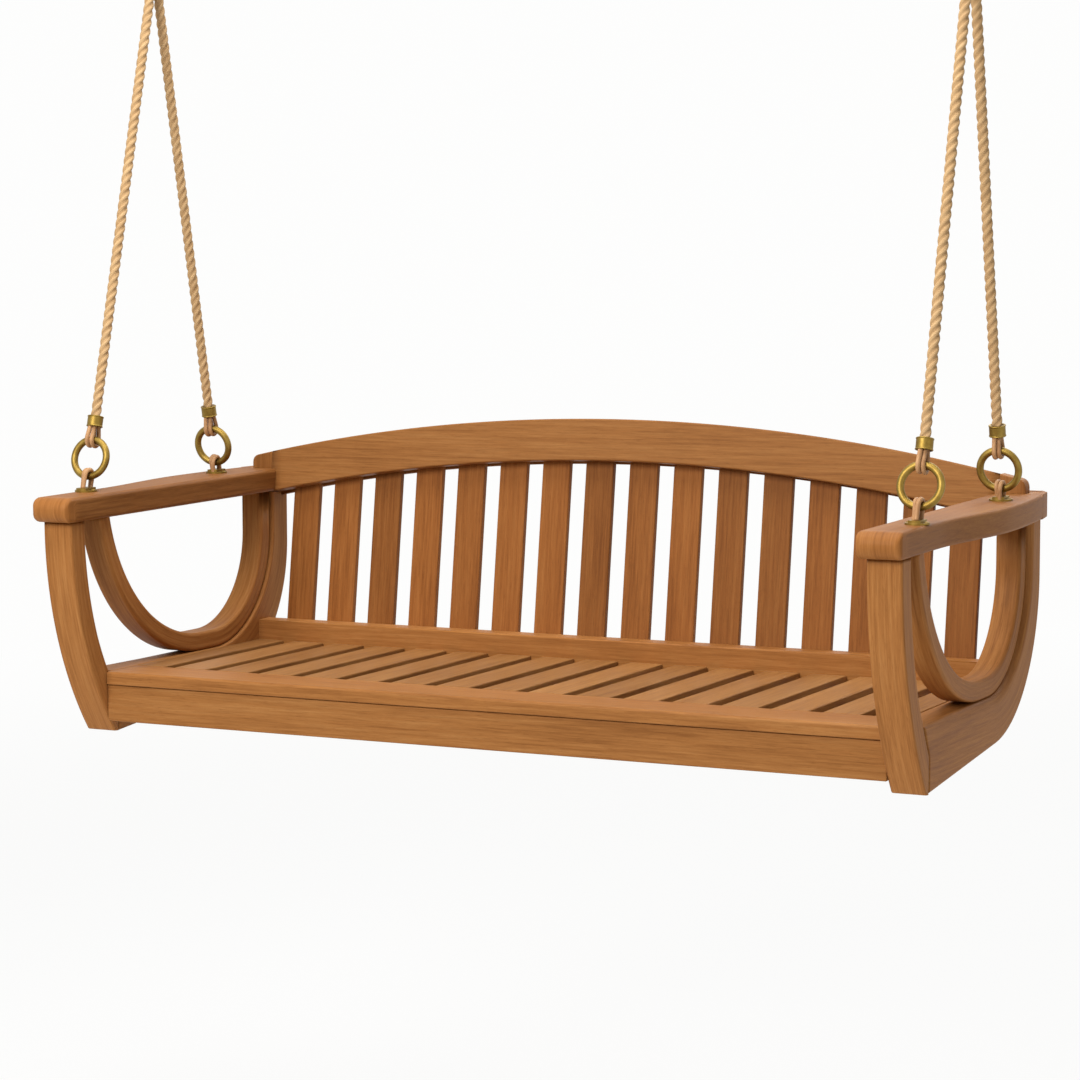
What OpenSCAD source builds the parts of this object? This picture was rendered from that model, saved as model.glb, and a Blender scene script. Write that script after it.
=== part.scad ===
// Hanging swing bench: a slatted seat and an arched, leaning slatted back between
// two bowed side frames, hung from two ceiling hooks by four ropes.
// Lengths are in millimetres and angles in degrees. The bench is laid out from the
// middle of the seat's front edge (X along the bench, Y to the back, Z up from the
// seat). hung() then tips it back about the hooks, as it hangs, and placed() moves
// everything so that the origin is on the ceiling.

/* [Overall] */
// Length of the bench over its two side frames
bench_w = 1512; // [1300:1:1700]
// Thickness of the legs, bows and posts, along the bench
side_t = 56; // [48:1:64]
// Height of the ceiling above the seat
ceiling_h = 1335; // [1320:1:1400]
// Depth of the hanging line behind the seat's front edge
hang_y = 239; // [232:1:246]
// Angle by which the bench hangs tipped back
hang_tip = 3.1; // [0:0.1:4]
// Distance of the ropes inside the outer face of the side frames
hang_in = 14; // [12:1:20]

/* [Seat] */
// Thickness of the seat boards
seat_t = 22; // [18:1:26]
// Depth of the front seat board
front_board_d = 95; // [80:1:110]
// Number of seat slats
seat_slat_n = 15; // [10:1:20]
// Width of the slots between the seat slats
seat_slot = 23; // [12:1:30]
// Width of the two end boards of the seat
seat_end_w = 53; // [40:1:70]
// Height of the front apron below the seat boards
apron_h = 63; // [50:1:70]
// Thickness of the front apron
apron_t = 32; // [24:1:36]
// Setback of the apron from the seat's front edge
apron_set = 4; // [2:1:6]
// Width of the rails under the seat slats
seat_rail_w = 42; // [34:1:46]
// Height of the rails under the seat slats
seat_rail_h = 36; // [30:1:40]

/* [Back] */
// Lean of the back
back_lean = 7.5; // [4:0.5:10]
// Front face of the back's bottom rail, ahead of the rear posts
back_ahead = 55; // [48:1:62]
// Height of the bottom rail above the seat
low_rail_top = 36; // [28:1:44]
// Depth of the bottom rail at its top
low_rail_d = 42; // [36:1:46]
// Height of the arch at mid length, along the lean, above the bottom rail
back_h = 384; // [360:1:400]
// Rise of the arch from the posts to mid length
arch_rise = 75; // [50:1:90]
// Height of the arched top rail
top_rail_h = 74; // [60:1:84]
// Thickness of the arched top rail
top_rail_t = 28; // [24:1:30]
// Height of the cap strip behind the slats
cap_h = 42; // [36:1:46]
// Thickness of the cap strip behind the slats
cap_t = 11; // [8:1:12]
// How far the cap strip reaches below the top rail
cap_drop = 3; // [2:1:10]
// Width of a back slat
back_slat_w = 54; // [40:1:58]
// Thickness of a back slat
back_slat_t = 13; // [10:1:15]
// Gap between a post and the first back slat
back_end_gap = 35.5; // [25:0.5:45]
// Overlap of a back slat behind each rail
slat_lap = 28; // [22:1:30]

/* [Side frames] */
// Radius of the front edge of the front leg
leg_r = 610; // [580:1:700]
// Depth of the front leg, front to back
leg_d = 42; // [36:1:48]
// Foremost line of the front leg, ahead of the seat's front edge
leg_front = 97; // [90:1:105]
// Height at which the leg stands upright
leg_upright_z = 260; // [240:1:280]
// Upright joint between leg and side bow, behind the seat's front edge
bow_joint_y = 36; // [32:1:40]
// Inner radius of the bend from side rail to rear post
bend_r = 200; // [190:1:205]
// Start of the bend behind the seat's front edge
bend_y = 358; // [354:1:364]
// Depth of the rear post, front to back
post_d = 54; // [48:1:58]
// Setback of the post's top at its outer side, above the armrest
head_in = 12; // [6:1:16]
// Depth of the post's top above the armrest
head_d = 28; // [24:1:34]
// Extra depth of the side rail below the bend
rail_extra = 24; // [18:1:28]
// Slope of the underside of the side rail
rail_slope = 4.75; // [4:0.25:5.5]
// Radius of the rounded outer top edge of the side rail
rail_edge_r = 14; // [8:1:16]

/* [Hoops] */
// Width of the arm hoop, along the bench
hoop_w = 43; // [34:1:44]
// Thickness of the arm hoop
hoop_t = 33; // [26:1:36]
// Outer radius of the front half of the hoop
hoop_front_r = 330; // [320:1:335]
// Start of the flat foot of the hoop behind the seat's front edge
hoop_flat_y = 318; // [310:1:330]
// Outer radius of the rear half of the hoop
hoop_rear_r = 198; // [180:1:198]
// Setback of the hoop from the inner face of the side frame
hoop_set = 5; // [4:1:8]

/* [Armrests] */
// Thickness of the armrest
arm_t = 42; // [36:1:46]
// Height of the armrest's underside above the seat, at its front
arm_h = 262; // [250:1:270]
// Rise of the armrest towards the back
arm_slope = 0.8; // [0:0.1:1.5]
// Front end of the armrest, ahead of the seat's front edge
arm_front = 125; // [120:1:135]
// Length of the armrest behind the post's front face: it wraps round the post
ear_len = 77; // [70:1:84]
// Overhang of the armrest inside the side frame
arm_in = 10; // [8:1:20]
// Overhang of the armrest outside the side frame, at the front
arm_out = 6; // [5:1:10]
// How far the outer edge swells out, halfway along
arm_out_swell = 26; // [10:1:30]
// How far the outer edge comes back in at the rear end
arm_tuck = 26; // [16:1:28]
// Where the outer edge starts to swell
bulge_start = 60; // [40:1:100]
// Where the outer edge swells most
bulge_peak = 345; // [300:1:400]
// Corner radius of the armrest in plan
arm_corner_r = 12; // [6:1:16]

/* [Rings and eyes] */
// Height of the ring centres above the seat
ring_z = 362.5; // [360:0.5:364]
// Radius of a lower ring, to the middle of its bar
ring_r = 32; // [30:1:34]
// Radius of the bar of a lower ring
ring_bar_r = 6; // [5:0.5:6]
// Radius of a strand of the eyes and loops
strand_r = 3.9; // [3.5:0.1:4.6]
// Clearance between a ring and the strands round it
ring_clear = 0.9; // [0.8:0.1:1.2]
// Lean of the eyes' legs towards the ferrule
eye_lean = 13; // [8:1:14]
// Radius of the round plate on the armrest
plate_r = 19; // [18:0.5:19]
// Thickness of the round plate on the armrest
plate_t = 3; // [2:0.5:4]
// Width of the saddle block on the plate
saddle_w = 20; // [18:0.5:21]
// Height of the saddle block above the plate
saddle_h = 4; // [3:0.5:5]
// Length of the screws that hold a plate
screw_len = 30; // [20:1:36]
// Radius of those screws
screw_r = 2; // [1.5:0.25:2.25]

/* [Ropes and ferrules] */
// Diameter of a rope
rope_d = 17.5; // [14:0.5:18]
// Radius of a ferrule
ferrule_r = 14; // [13.75:0.25:17]
// Length of a ferrule
ferrule_len = 19; // [17:1:27]
// Depth of the rope's end in a ferrule
ferrule_grip = 10; // [8:1:11]
// Height of the clamp in which the two ropes of a side meet
clamp_h = 36; // [32:1:40]
// Width of that clamp across the ropes, front to back
clamp_w = 50; // [48:1:56]
// Thickness of that clamp along the bench
clamp_t = 30; // [28:1:34]
// Depth of the ropes' ends in the clamp
clamp_grip = 8; // [6:1:12]

/* [Ceiling fittings] */
// Radius of a top ring, to the middle of its bar
top_ring_r = 24; // [22:1:28]
// Radius of the bar of a top ring
top_bar_r = 4.5; // [4:0.5:5]
// Height of the top rings' centres above the seat
top_ring_z = 1250; // [1246:1:1254]
// Radius of a hook's bar
hook_bar_r = 5; // [4:0.5:6]
// Radius of a hook's bend, to the middle of its bar
hook_bend_r = 12; // [11:0.5:15]
// Thickness of a ceiling plate
ceil_t = 5; // [4:0.5:6]
// Width of a ceiling plate
ceil_w = 44; // [36:1:50]
// Distance between the two screw holes of a ceiling plate
ceil_hole_gap = 60; // [56:1:70]
// Radius of the screw holes
ceil_hole_r = 3.25; // [2.5:0.25:4]

/* [Dowels] */
// Radius of the dowels in the joints
dowel_r = 5; // [4:0.5:5]
// Length of a dowel
dowel_len = 44; // [30:1:46]
// Clearance round a dowel in its hole
dowel_clear = 0.1; // [0.05:0.05:0.2]

/* [Hidden] */
$fn = 96;
// Middle lines of the ropes, from the ferrule up to the clamp, as [depth, height]
front_rope = [[39.4, 423.5], [230.1, 1174]];
rear_rope = [[404.5, 425.5], [248.1, 1174]];

wood = [0.69, 0.47, 0.28];
wood_dark = [0.60, 0.39, 0.22];
brass = [0.66, 0.53, 0.25];
straw = [0.82, 0.70, 0.50];
tan_hide = [0.70, 0.50, 0.32];

x_out = bench_w / 2;
x_in = x_out - side_t;
inner_w = 2 * x_in;
hang_x = x_out - hang_in;
far = 1000;

// Seat
slot_pitch = (inner_w - 2 * seat_end_w - seat_slot) / seat_slat_n;
seat_slat_w = slot_pitch - seat_slot;
front_ledger_y = front_board_d - seat_rail_w / 2;
mid_rail_y = 215;
back_rail_y = 413;

// Back, laid out in a frame that leans about the foot of the slats
post_y = bend_y + bend_r;
back_y = post_y - back_ahead;
back_foot = [back_y + low_rail_d, low_rail_top];
arch_r = (x_in * x_in + arch_rise * arch_rise) / (2 * arch_rise);
back_slat_n = 16;
back_pitch = (inner_w - 2 * back_end_gap - back_slat_w) / (back_slat_n - 1);
arch_top_z = back_foot[1] + back_h * cos(back_lean) + top_rail_t * sin(back_lean);

// Side frame
leg_cy = leg_r - leg_front;
bow_outer_r = bend_r + post_d;
bow_cz = bend_r - rail_extra;
slope_y = bend_y + bow_outer_r * sin(rail_slope);
slope_z = bow_cz - bow_outer_r * cos(rail_slope);
function underside(y) = slope_z - (slope_y - y) * tan(rail_slope);

// Armrest
arm_back = post_y + ear_len;
function arm_under(y) = arm_h + (y + arm_front) * tan(arm_slope);
function arm_top(y) = arm_under(y) + arm_t / cos(arm_slope);
function smooth(t) = let (u = min(1, max(0, t))) u * u * (3 - 2 * u);
function arm_outer(y) =
    let (bulge = smooth((y - bulge_start) / (bulge_peak - bulge_start)),
         tuck = max(0, (y - bulge_peak) / (arm_back - bulge_peak)))
    x_out + arm_out + arm_out_swell * bulge - arm_tuck * tuck * tuck;
arm_inner = x_in - arm_in;

// Ropes: each one's lean, and the ring centre where its line meets the ring height
function rope_low(r) = r[0];
function rope_top(r) = r[len(r) - 1];
function rope_lean(r) = atan2(rope_top(r)[0] - rope_low(r)[0], rope_top(r)[1] - rope_low(r)[1]);
function ring_y(r) = rope_low(r)[0] - (rope_low(r)[1] - ring_z) * tan(rope_lean(r));
function rope_reach(r) = (rope_low(r)[1] - ring_z) / cos(rope_lean(r));
function plate_y(r) = ring_y(r) - (ring_z - arm_top(ring_y(r))) * tan(rope_lean(r));
eye_r = ring_bar_r + ring_clear + strand_r;
top_eye_r = top_bar_r + ring_clear + strand_r;
swing_z = top_ring_z + top_ring_r;
clamp_low = rope_top(front_rope)[1] - clamp_grip;

// Small fixed sizes
board_edge_r = 5;
wrap_in = 4;
screw_off = 14;
screw_head_h = 1.2;
screw_head_r = [4, 2.8];
eye_grip = 6;
strand_step = 0.05;
strand_gap = 0.1;
ferrule_wall = 2.5;
rope_clear = 0.3;
hook_clear = 0.3;
hook_tip = 8;
collar_h = 4;
dowel_in = 18;

// Heights of dowels: in the apron below its top, and at the foot of the back
apron_dowel_hs = [19, 47];
low_rail_dowel = [15, -22];
// Dowels of the top rail, below the arch's end and behind the rail's face
arch_dowels = [-50, -22];
arch_dowel_y = -11;
// Heights of the dowels between leg and side bow
joint_dowels = [-40, -80];
hoop_dowel_in = 13;

// Where the dowels along the bench and the upright ones stand
rail_dowels = [[apron_set + apron_t / 2, -seat_t - apron_dowel_hs[0]],
               [apron_set + apron_t / 2, -seat_t - apron_dowel_hs[1]],
               [front_ledger_y + seat_rail_w / 2, -seat_t - seat_rail_h / 2],
               [mid_rail_y + seat_rail_w / 2, -seat_t - seat_rail_h / 2],
               [back_rail_y + seat_rail_w / 2, -seat_t - seat_rail_h / 2],
               [back_y + low_rail_dowel[0], low_rail_top + low_rail_dowel[1]]];
hoop_dowel_x = x_in + hoop_set + hoop_dowel_in;
hoop_front_y = hoop_flat_y - sqrt(pow(hoop_front_r - hoop_t / 2, 2)
                                  - pow(hoop_front_r - arm_under(0), 2));
upright_dowels = [[x_out - side_t / 2, leg_d / 2 - leg_front],
                  [hoop_dowel_x, hoop_front_y],
                  [hoop_dowel_x, bend_y + hoop_rear_r - hoop_t / 2]];

SLATS = ["back_slat_01", "back_slat_02", "back_slat_03", "back_slat_04",
         "back_slat_05", "back_slat_06", "back_slat_07", "back_slat_08",
         "back_slat_09", "back_slat_10", "back_slat_11", "back_slat_12",
         "back_slat_13", "back_slat_14", "back_slat_15", "back_slat_16"];

// Moves the finished part so that its origin is midway between the ceiling plates.
module placed() {
    translate([0, -hang_y, -ceiling_h]) children();
}

// The bench and its ropes hang from the top rings' bars, with their weight below them.
module hung() {
    placed() translate([0, hang_y, swing_z]) rotate([-hang_tip, 0, 0])
        translate([0, -hang_y, -swing_z]) children();
}

// Draws a right-hand piece on side s: 1 is right and -1 is left.
module on_side(s) {
    mirror([s < 0 ? 1 : 0, 0, 0]) children();
}

// Extrudes a side outline, drawn as [depth, height], from x0 over a thickness.
module side_plate(x0, thickness) {
    translate([x0, 0, 0]) rotate([90, 0, 90]) linear_extrude(thickness) children();
}

// Everything below the armrest's underside, as a side outline.
module below_arm() {
    polygon([[-far, -far], [far, -far], [far, arm_under(far)], [-far, arm_under(-far)]]);
}

// What a rounded edge of radius r takes off a corner, as a section.
module edge_section(r) {
    difference() {
        square(r + 1);
        circle(r);
    }
}

// Frame of the leaning back: the slats' front faces lie in its XZ plane.
module leaned() {
    translate([0, back_foot[0], back_foot[1]]) rotate([-back_lean, 0, 0]) children();
}

// Frame on top of the right armrest, at a depth y on the hanging line.
module on_arm(y) {
    translate([hang_x, y, arm_top(y)]) rotate([arm_slope, 0, 0]) children();
}

// Frame of a rope's lower fittings: origin at the ring's centre, Z along the rope.
module on_rope(r) {
    translate([hang_x, ring_y(r), ring_z]) rotate([-rope_lean(r), 0, 0]) children();
}

// ---- Dowels. The holes are the same cylinders with a clearance all round.
module dowel(c) {
    cylinder(h = dowel_len + 4 * c, r = dowel_r + c, center = true);
}

// Dowels along the bench, at the ends of the rails.
module end_dowels(c) {
    for (p = rail_dowels) {
        translate([x_in, p[0], p[1]]) rotate([0, 90, 0]) dowel(c);
    }
    leaned() for (h = arch_dowels) {
        translate([x_in, arch_dowel_y, back_h - arch_rise + h])
            rotate([0, 90, 0]) dowel(c);
    }
}

// Upright dowels into the armrest, over the leg and both ends of the hoop.
module arm_dowels(c) {
    for (p = upright_dowels) {
        translate([p[0], p[1], arm_under(p[1])]) dowel(c);
    }
}

// Dowels from front to back: leg to side bow, and armrest to post.
module depth_dowels(c) {
    for (p = [[bow_joint_y, joint_dowels[0]], [bow_joint_y, joint_dowels[1]],
              [post_y, arm_under(post_y) + arm_t / 2]]) {
        translate([x_out - dowel_in, p[0], p[1]]) rotate([90, 0, 0]) dowel(c);
    }
}

module dowel_set(c) {
    end_dowels(c);
    arm_dowels(c);
    depth_dowels(c);
}

module frame_dowels() {
    color(wood_dark) for (s = [-1, 1]) on_side(s) dowel_set(0);
}

// Takes the holes of all the dowels out of a right-hand side piece.
module drilled() {
    difference() {
        children();
        dowel_set(dowel_clear);
    }
}

// Takes the holes of the dowels at its ends out of a rail.
module end_drilled() {
    difference() {
        children();
        for (s = [-1, 1]) on_side(s) end_dowels(dowel_clear);
    }
}

// ---- Side frames
module leg_outline() {
    difference() {
        intersection() {
            translate([leg_cy, leg_upright_z]) circle(leg_r);
            translate([-leg_front - 1, underside(bow_joint_y)])
                square([leg_front + 1 + bow_joint_y, far]);
            below_arm();
        }
        translate([leg_cy, leg_upright_z]) circle(leg_r - leg_d);
    }
}

module front_leg(s) {
    color(wood) on_side(s) drilled() side_plate(x_in, side_t) leg_outline();
}

// Side rail, bend and rear post are one bent piece.
module bow_outline() {
    difference() {
        union() {
            polygon([[0, underside(0)], [slope_y, slope_z], [slope_y, bow_cz], [0, bow_cz]]);
            intersection() {
                translate([bend_y, bow_cz]) circle(bow_outer_r);
                translate([slope_y, bow_cz - far]) square([far, far]);
            }
            translate([slope_y, bow_cz])
                square([bend_y + bow_outer_r - slope_y, arch_top_z - bow_cz]);
        }
        translate([bend_y, bend_r]) circle(bend_r);
        translate([-1, 0]) square([bend_y + 1, far]);
        translate([-1, bend_r]) square([post_y + 1, far]);
        // the leg stands in front of this end
        difference() {
            translate([-1, -far]) square([bow_joint_y + 1, 2 * far]);
            translate([leg_cy, leg_upright_z]) circle(leg_r - leg_d);
        }
    }
}

// The rounded outer top edge runs along the rail, round the bend and up the post.
module bow_edge_cut() {
    r = rail_edge_r;
    translate([x_out - r, bend_y, -r]) rotate([90, 0, 0])
        linear_extrude(bend_y + 1) edge_section(r);
    translate([x_out - r, bend_y, bend_r]) rotate([90, 0, 90]) rotate([0, 0, -90])
        rotate_extrude(angle = 90) translate([bend_r + r, 0]) mirror([1, 0, 0]) edge_section(r);
    translate([x_out - r, post_y + r, bend_r])
        linear_extrude(arm_under(post_y) - bend_r) mirror([0, 1, 0]) edge_section(r);
}

// Above the armrest the post is narrower.
module head_cut() {
    translate([x_out - head_in, post_y - 1, arm_top(post_y)]) cube(far);
    translate([x_in - 1, post_y + head_d, arm_top(post_y)]) cube(far);
}

module side_bow(s) {
    color(wood) on_side(s) drilled() difference() {
        intersection() {
            side_plate(x_in, side_t) bow_outline();
            // the post's top carries on the arch of the top rail
            translate([0, far, arch_top_z - arch_r]) rotate([90, 0, 0])
                cylinder(h = far, r = arch_r, $fn = 360);
        }
        bow_edge_cut();
        head_cut();
    }
}

// ---- Arm hoops
module hoop_region(inset) {
    intersection() {
        translate([hoop_flat_y, hoop_front_r]) circle(hoop_front_r - inset);
        translate([hoop_flat_y - far, 0]) square([far, far]);
    }
    translate([hoop_flat_y, inset]) square([bend_y - hoop_flat_y, far]);
    intersection() {
        translate([bend_y, hoop_rear_r]) circle(hoop_rear_r - inset);
        translate([bend_y, 0]) square([far, hoop_rear_r]);
    }
    translate([bend_y, hoop_rear_r]) square([hoop_rear_r - inset, far]);
}

module arm_hoop(s) {
    color(wood) on_side(s) drilled() side_plate(x_in + hoop_set, hoop_w) intersection() {
        difference() {
            hoop_region(0);
            hoop_region(hoop_t);
        }
        below_arm();
    }
}

// ---- Armrests
function arc_points(c, r, a0, a1) =
    [for (i = [0 : 6]) [c[0] + r * cos(a0 + (a1 - a0) * i / 6),
                        c[1] + r * sin(a0 + (a1 - a0) * i / 6)]];
function span(y0, y1) = [for (i = [0 : 20]) y0 + (y1 - y0) * i / 20];

module arm_plan() {
    r = arm_corner_r;
    front = -arm_front;
    post_back = post_y + post_d;
    polygon(concat(
        arc_points([arm_outer(front) - r, front + r], r, -90, 0),
        [for (y = span(bulge_start, arm_back - 2 * r)) [arm_outer(y), y]],
        arc_points([arm_outer(arm_back) - r, arm_back - r], r, 0, 90),
        [[x_in + wrap_in, arm_back], [x_in + wrap_in, post_back], [x_out, post_back],
         [x_out, post_y], [arm_inner, post_y]],
        arc_points([arm_inner + r, front + r], r, 180, 270)));
}

// Side outline of the armrest: a rising slab with a half-round nose.
module arm_outline() {
    translate([-arm_front, arm_h]) rotate(arm_slope) {
        translate([arm_t / 2, arm_t / 2]) circle(arm_t / 2);
        translate([arm_t / 2, 0]) square([far, arm_t]);
    }
}

module armrest(s) {
    color(wood) on_side(s) difference() {
        drilled() intersection() {
            translate([0, 0, arm_h - arm_t]) linear_extrude(3 * arm_t) arm_plan();
            side_plate(x_in - side_t, 3 * side_t) arm_outline();
        }
        for (r = [front_rope, rear_rope]) screw_pair(r, dowel_clear);
        // the inner edge stops at the back's front face
        leaned() translate([-x_in, -top_rail_t, -far]) cube([inner_w, far, 2 * far]);
    }
}

// ---- Seat
module across(y, depth, z, height) {
    translate([-x_in, y, z]) cube([inner_w, depth, height]);
}

module seat_front_board() {
    r = board_edge_r;
    color(wood) side_plate(-x_in, inner_w) difference() {
        translate([0, -seat_t]) square([front_board_d, seat_t]);
        translate([r, -r]) mirror([1, 0, 0]) edge_section(r);
    }
}

module front_apron() {
    color(wood) end_drilled() across(apron_set, apron_t, -seat_t - apron_h, apron_h);
}

module seat_board(x, w) {
    translate([x, front_board_d, -seat_t]) cube([w, back_y - front_board_d, seat_t]);
}

module seat_slats() {
    color(wood) for (i = [0 : seat_slat_n - 1]) {
        seat_board(-x_in + seat_end_w + seat_slot + i * slot_pitch, seat_slat_w);
    }
}

module seat_end_boards() {
    color(wood) for (s = [-1, 1]) on_side(s) seat_board(x_in - seat_end_w, seat_end_w);
}

module seat_rail(y) {
    color(wood_dark) end_drilled() across(y, seat_rail_w, -seat_t - seat_rail_h, seat_rail_h);
}

// ---- Back
module back_bottom_rail() {
    low = -seat_t;
    foot = back_foot[0] - (low_rail_top - low) * tan(back_lean);
    color(wood) end_drilled() side_plate(-x_in, inner_w) intersection() {
        polygon([[back_y, low], [foot, low], back_foot, [back_y, low_rail_top]]);
        translate([bend_y, bow_cz]) circle(bow_outer_r);
    }
}

// A band of the arch: its outer edge lies drop below the arch, over a height.
module arch_band(y, t, drop, height) {
    leaned() translate([0, y + t, 0]) rotate([90, 0, 0]) linear_extrude(t) intersection() {
        translate([0, back_h - arch_r]) difference() {
            circle(arch_r - drop, $fn = 360);
            circle(arch_r - drop - height, $fn = 360);
        }
        translate([-x_in, 0]) square([inner_w, far]);
    }
}

module back_top_rail() {
    color(wood) end_drilled() arch_band(-top_rail_t, top_rail_t, 0, top_rail_h);
}

module back_cap_strip() {
    color(wood_dark) arch_band(back_slat_t, cap_t, top_rail_h + cap_drop - cap_h, cap_h);
}

function slat_x(i) = -x_in + back_end_gap + back_slat_w / 2 + i * back_pitch;
function arch_low(x) = back_h - arch_r + sqrt(pow(arch_r - top_rail_h, 2) - x * x);

module back_slat(i) {
    x = slat_x(i);
    color(wood) leaned() translate([x - back_slat_w / 2, 0, -slat_lap])
        cube([back_slat_w, back_slat_t, arch_low(x) + 2 * slat_lap]);
}

// ---- Fittings on the armrests
module screw_pair(r, c) {
    on_arm(plate_y(r)) for (x = [-screw_off, screw_off]) {
        translate([x, 0, plate_t - screw_len]) cylinder(h = screw_len, r = screw_r + c);
    }
}

module arm_plates() {
    color(brass) for (s = [-1, 1], r = [front_rope, rear_rope]) on_side(s) difference() {
        on_arm(plate_y(r)) {
            cylinder(h = plate_t, r = plate_r);
            intersection() {
                cylinder(h = plate_t + saddle_h, r = plate_r - 1);
                translate([-saddle_w / 2, -plate_r, 0])
                    cube([saddle_w, 2 * plate_r, plate_t + saddle_h]);
            }
        }
        screw_pair(r, dowel_clear);
    }
}

module plate_screws() {
    color(brass) for (s = [-1, 1], r = [front_rope, rear_rope]) on_side(s) {
        screw_pair(r, 0);
        on_arm(plate_y(r)) for (x = [-screw_off, screw_off]) {
            translate([x, 0, plate_t])
                cylinder(h = screw_head_h, r1 = screw_head_r[0], r2 = screw_head_r[1]);
        }
    }
}

// Two strands side by side round a bar at the origin along X, with legs going up.
// The legs lean in towards each other by tilt.
module strand_loop(r, leg, tilt) {
    for (x = [-1, 1]) translate([x * (strand_r + strand_gap), 0, 0]) rotate([90, 0, 90]) {
        rotate([0, 0, 180 - tilt]) rotate_extrude(angle = 180 + 2 * tilt)
            translate([r, 0]) circle(strand_r);
        for (m = [0, 1]) mirror([m, 0, 0])
            translate([r * cos(tilt), r * sin(tilt), 0]) rotate([-90, 0, tilt])
                cylinder(h = leg, r = strand_r - strand_step);
    }
}

module arm_loops(s) {
    color(tan_hide) on_side(s) for (r = [front_rope, rear_rope]) difference() {
        on_rope(r) translate([0, 0, -ring_r]) rotate([180, 0, 0]) strand_loop(eye_r, 2 * ring_r, 0);
        on_arm(plate_y(r)) translate([-far / 2, -far / 2, plate_t + saddle_h - far])
            cube([far, far, far]);
    }
}

// ---- Ropes and what is on them
module lower_ring(r, s) {
    color(brass) on_side(s) on_rope(r) rotate([90, 0, 0])
        rotate_extrude() translate([ring_r, 0]) circle(ring_bar_r);
}

function ferrule_low(r) = rope_reach(r) + ferrule_grip - ferrule_len;

module rope_eyes(s) {
    color(tan_hide) on_side(s) for (r = [front_rope, rear_rope]) on_rope(r) difference() {
        translate([0, 0, ring_r])
            strand_loop(eye_r, (ferrule_low(r) + eye_grip - ring_r) / cos(eye_lean), eye_lean);
        translate([-far / 2, -far / 2, ferrule_low(r) + eye_grip]) cube([far, far, far]);
    }
}

module ferrules(s) {
    color(brass) on_side(s) for (r = [front_rope, rear_rope])
        on_rope(r) translate([0, 0, ferrule_low(r)]) difference() {
            cylinder(h = ferrule_len, r = ferrule_r);
            translate([0, 0, -1]) cylinder(h = 1 + eye_grip, r = ferrule_r - ferrule_wall);
            translate([0, 0, ferrule_len - ferrule_grip])
                cylinder(h = ferrule_grip + 1, r = rope_d / 2 + rope_clear);
        }
}

// A taut rope: a tube of ten sides along its route.
module rope(r, s) {
    sides = 10;
    rings = 18;
    a = rope_low(r);
    b = rope_top(r);
    lean = rope_lean(r);
    color(straw) on_side(s) polyhedron(
        points = [for (i = [0 : rings - 1], k = [0 : sides - 1])
            let (t = i / (rings - 1), u = rope_d / 2 * cos(k * 360 / sides),
                 v = rope_d / 2 * sin(k * 360 / sides))
            [hang_x + u, a[0] + (b[0] - a[0]) * t + v * cos(lean),
             a[1] + (b[1] - a[1]) * t - v * sin(lean)]],
        faces = concat(
            [[for (k = [0 : sides - 1]) k]],
            [for (i = [0 : rings - 2], k = [0 : sides - 1])
                let (n = (k + 1) % sides, p = i * sides, q = p + sides)
                [p + n, p + k, q + k, q + n]],
            [[for (k = [sides - 1 : -1 : 0]) (rings - 1) * sides + k]]));
}

module rope_clamp(s) {
    end_y = (clamp_w - clamp_t) / 2;
    color(brass) on_side(s) difference() {
        translate([hang_x, hang_y, clamp_low]) linear_extrude(clamp_h) {
            for (y = [-end_y, end_y]) translate([0, y]) circle(clamp_t / 2);
            square([clamp_t, 2 * end_y], center = true);
        }
        for (r = [front_rope, rear_rope])
            translate([hang_x, rope_top(r)[0], rope_top(r)[1]]) rotate([-rope_lean(r), 0, 0])
                translate([0, 0, -2 * clamp_grip])
                    cylinder(h = 2 * clamp_grip, r = rope_d / 2 + rope_clear);
    }
}

module top_eye(s) {
    low = clamp_low + clamp_h;
    bar_z = top_ring_z - top_ring_r;
    color(tan_hide) on_side(s) translate([hang_x, hang_y, bar_z]) rotate([180, 0, 0])
        strand_loop(top_eye_r, bar_z - low, 0);
}

module top_ring(s) {
    color(brass) on_side(s) translate([hang_x, hang_y, top_ring_z]) rotate([90, 0, 0])
        rotate_extrude() translate([top_ring_r, 0]) circle(top_bar_r);
}

// ---- Ceiling fittings
module ceiling_hook() {
    low = swing_z - top_bar_r - hook_clear - hook_bar_r;
    bend_z = low + hook_bend_r;
    top = ceiling_h - ceil_t;
    translate([hang_x, hang_y, bend_z]) {
        rotate([90, 0, 90]) rotate([0, 0, 180]) rotate_extrude(angle = 180)
            translate([hook_bend_r, 0]) circle(hook_bar_r);
        translate([0, hook_bend_r, 0]) cylinder(h = top - bend_z, r = hook_bar_r);
        translate([0, hook_bend_r, top - bend_z - collar_h])
            cylinder(h = collar_h, r = 2 * hook_bar_r);
        translate([0, -hook_bend_r, 0]) cylinder(h = hook_tip, r = hook_bar_r);
        translate([0, -hook_bend_r, hook_tip]) sphere(hook_bar_r);
    }
}

module ceiling_hooks() {
    color(brass) for (s = [-1, 1]) on_side(s) ceiling_hook();
}

module ceiling_plates() {
    color(brass) for (s = [-1, 1]) on_side(s)
        translate([hang_x, hang_y, ceiling_h - ceil_t]) linear_extrude(ceil_t) difference() {
            union() {
                for (y = [-ceil_w / 2, ceil_w / 2]) translate([0, y]) circle(ceil_w / 2);
                square(ceil_w, center = true);
            }
            for (y = [-ceil_hole_gap / 2, ceil_hole_gap / 2]) translate([0, y]) circle(ceil_hole_r);
        }
}

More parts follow.
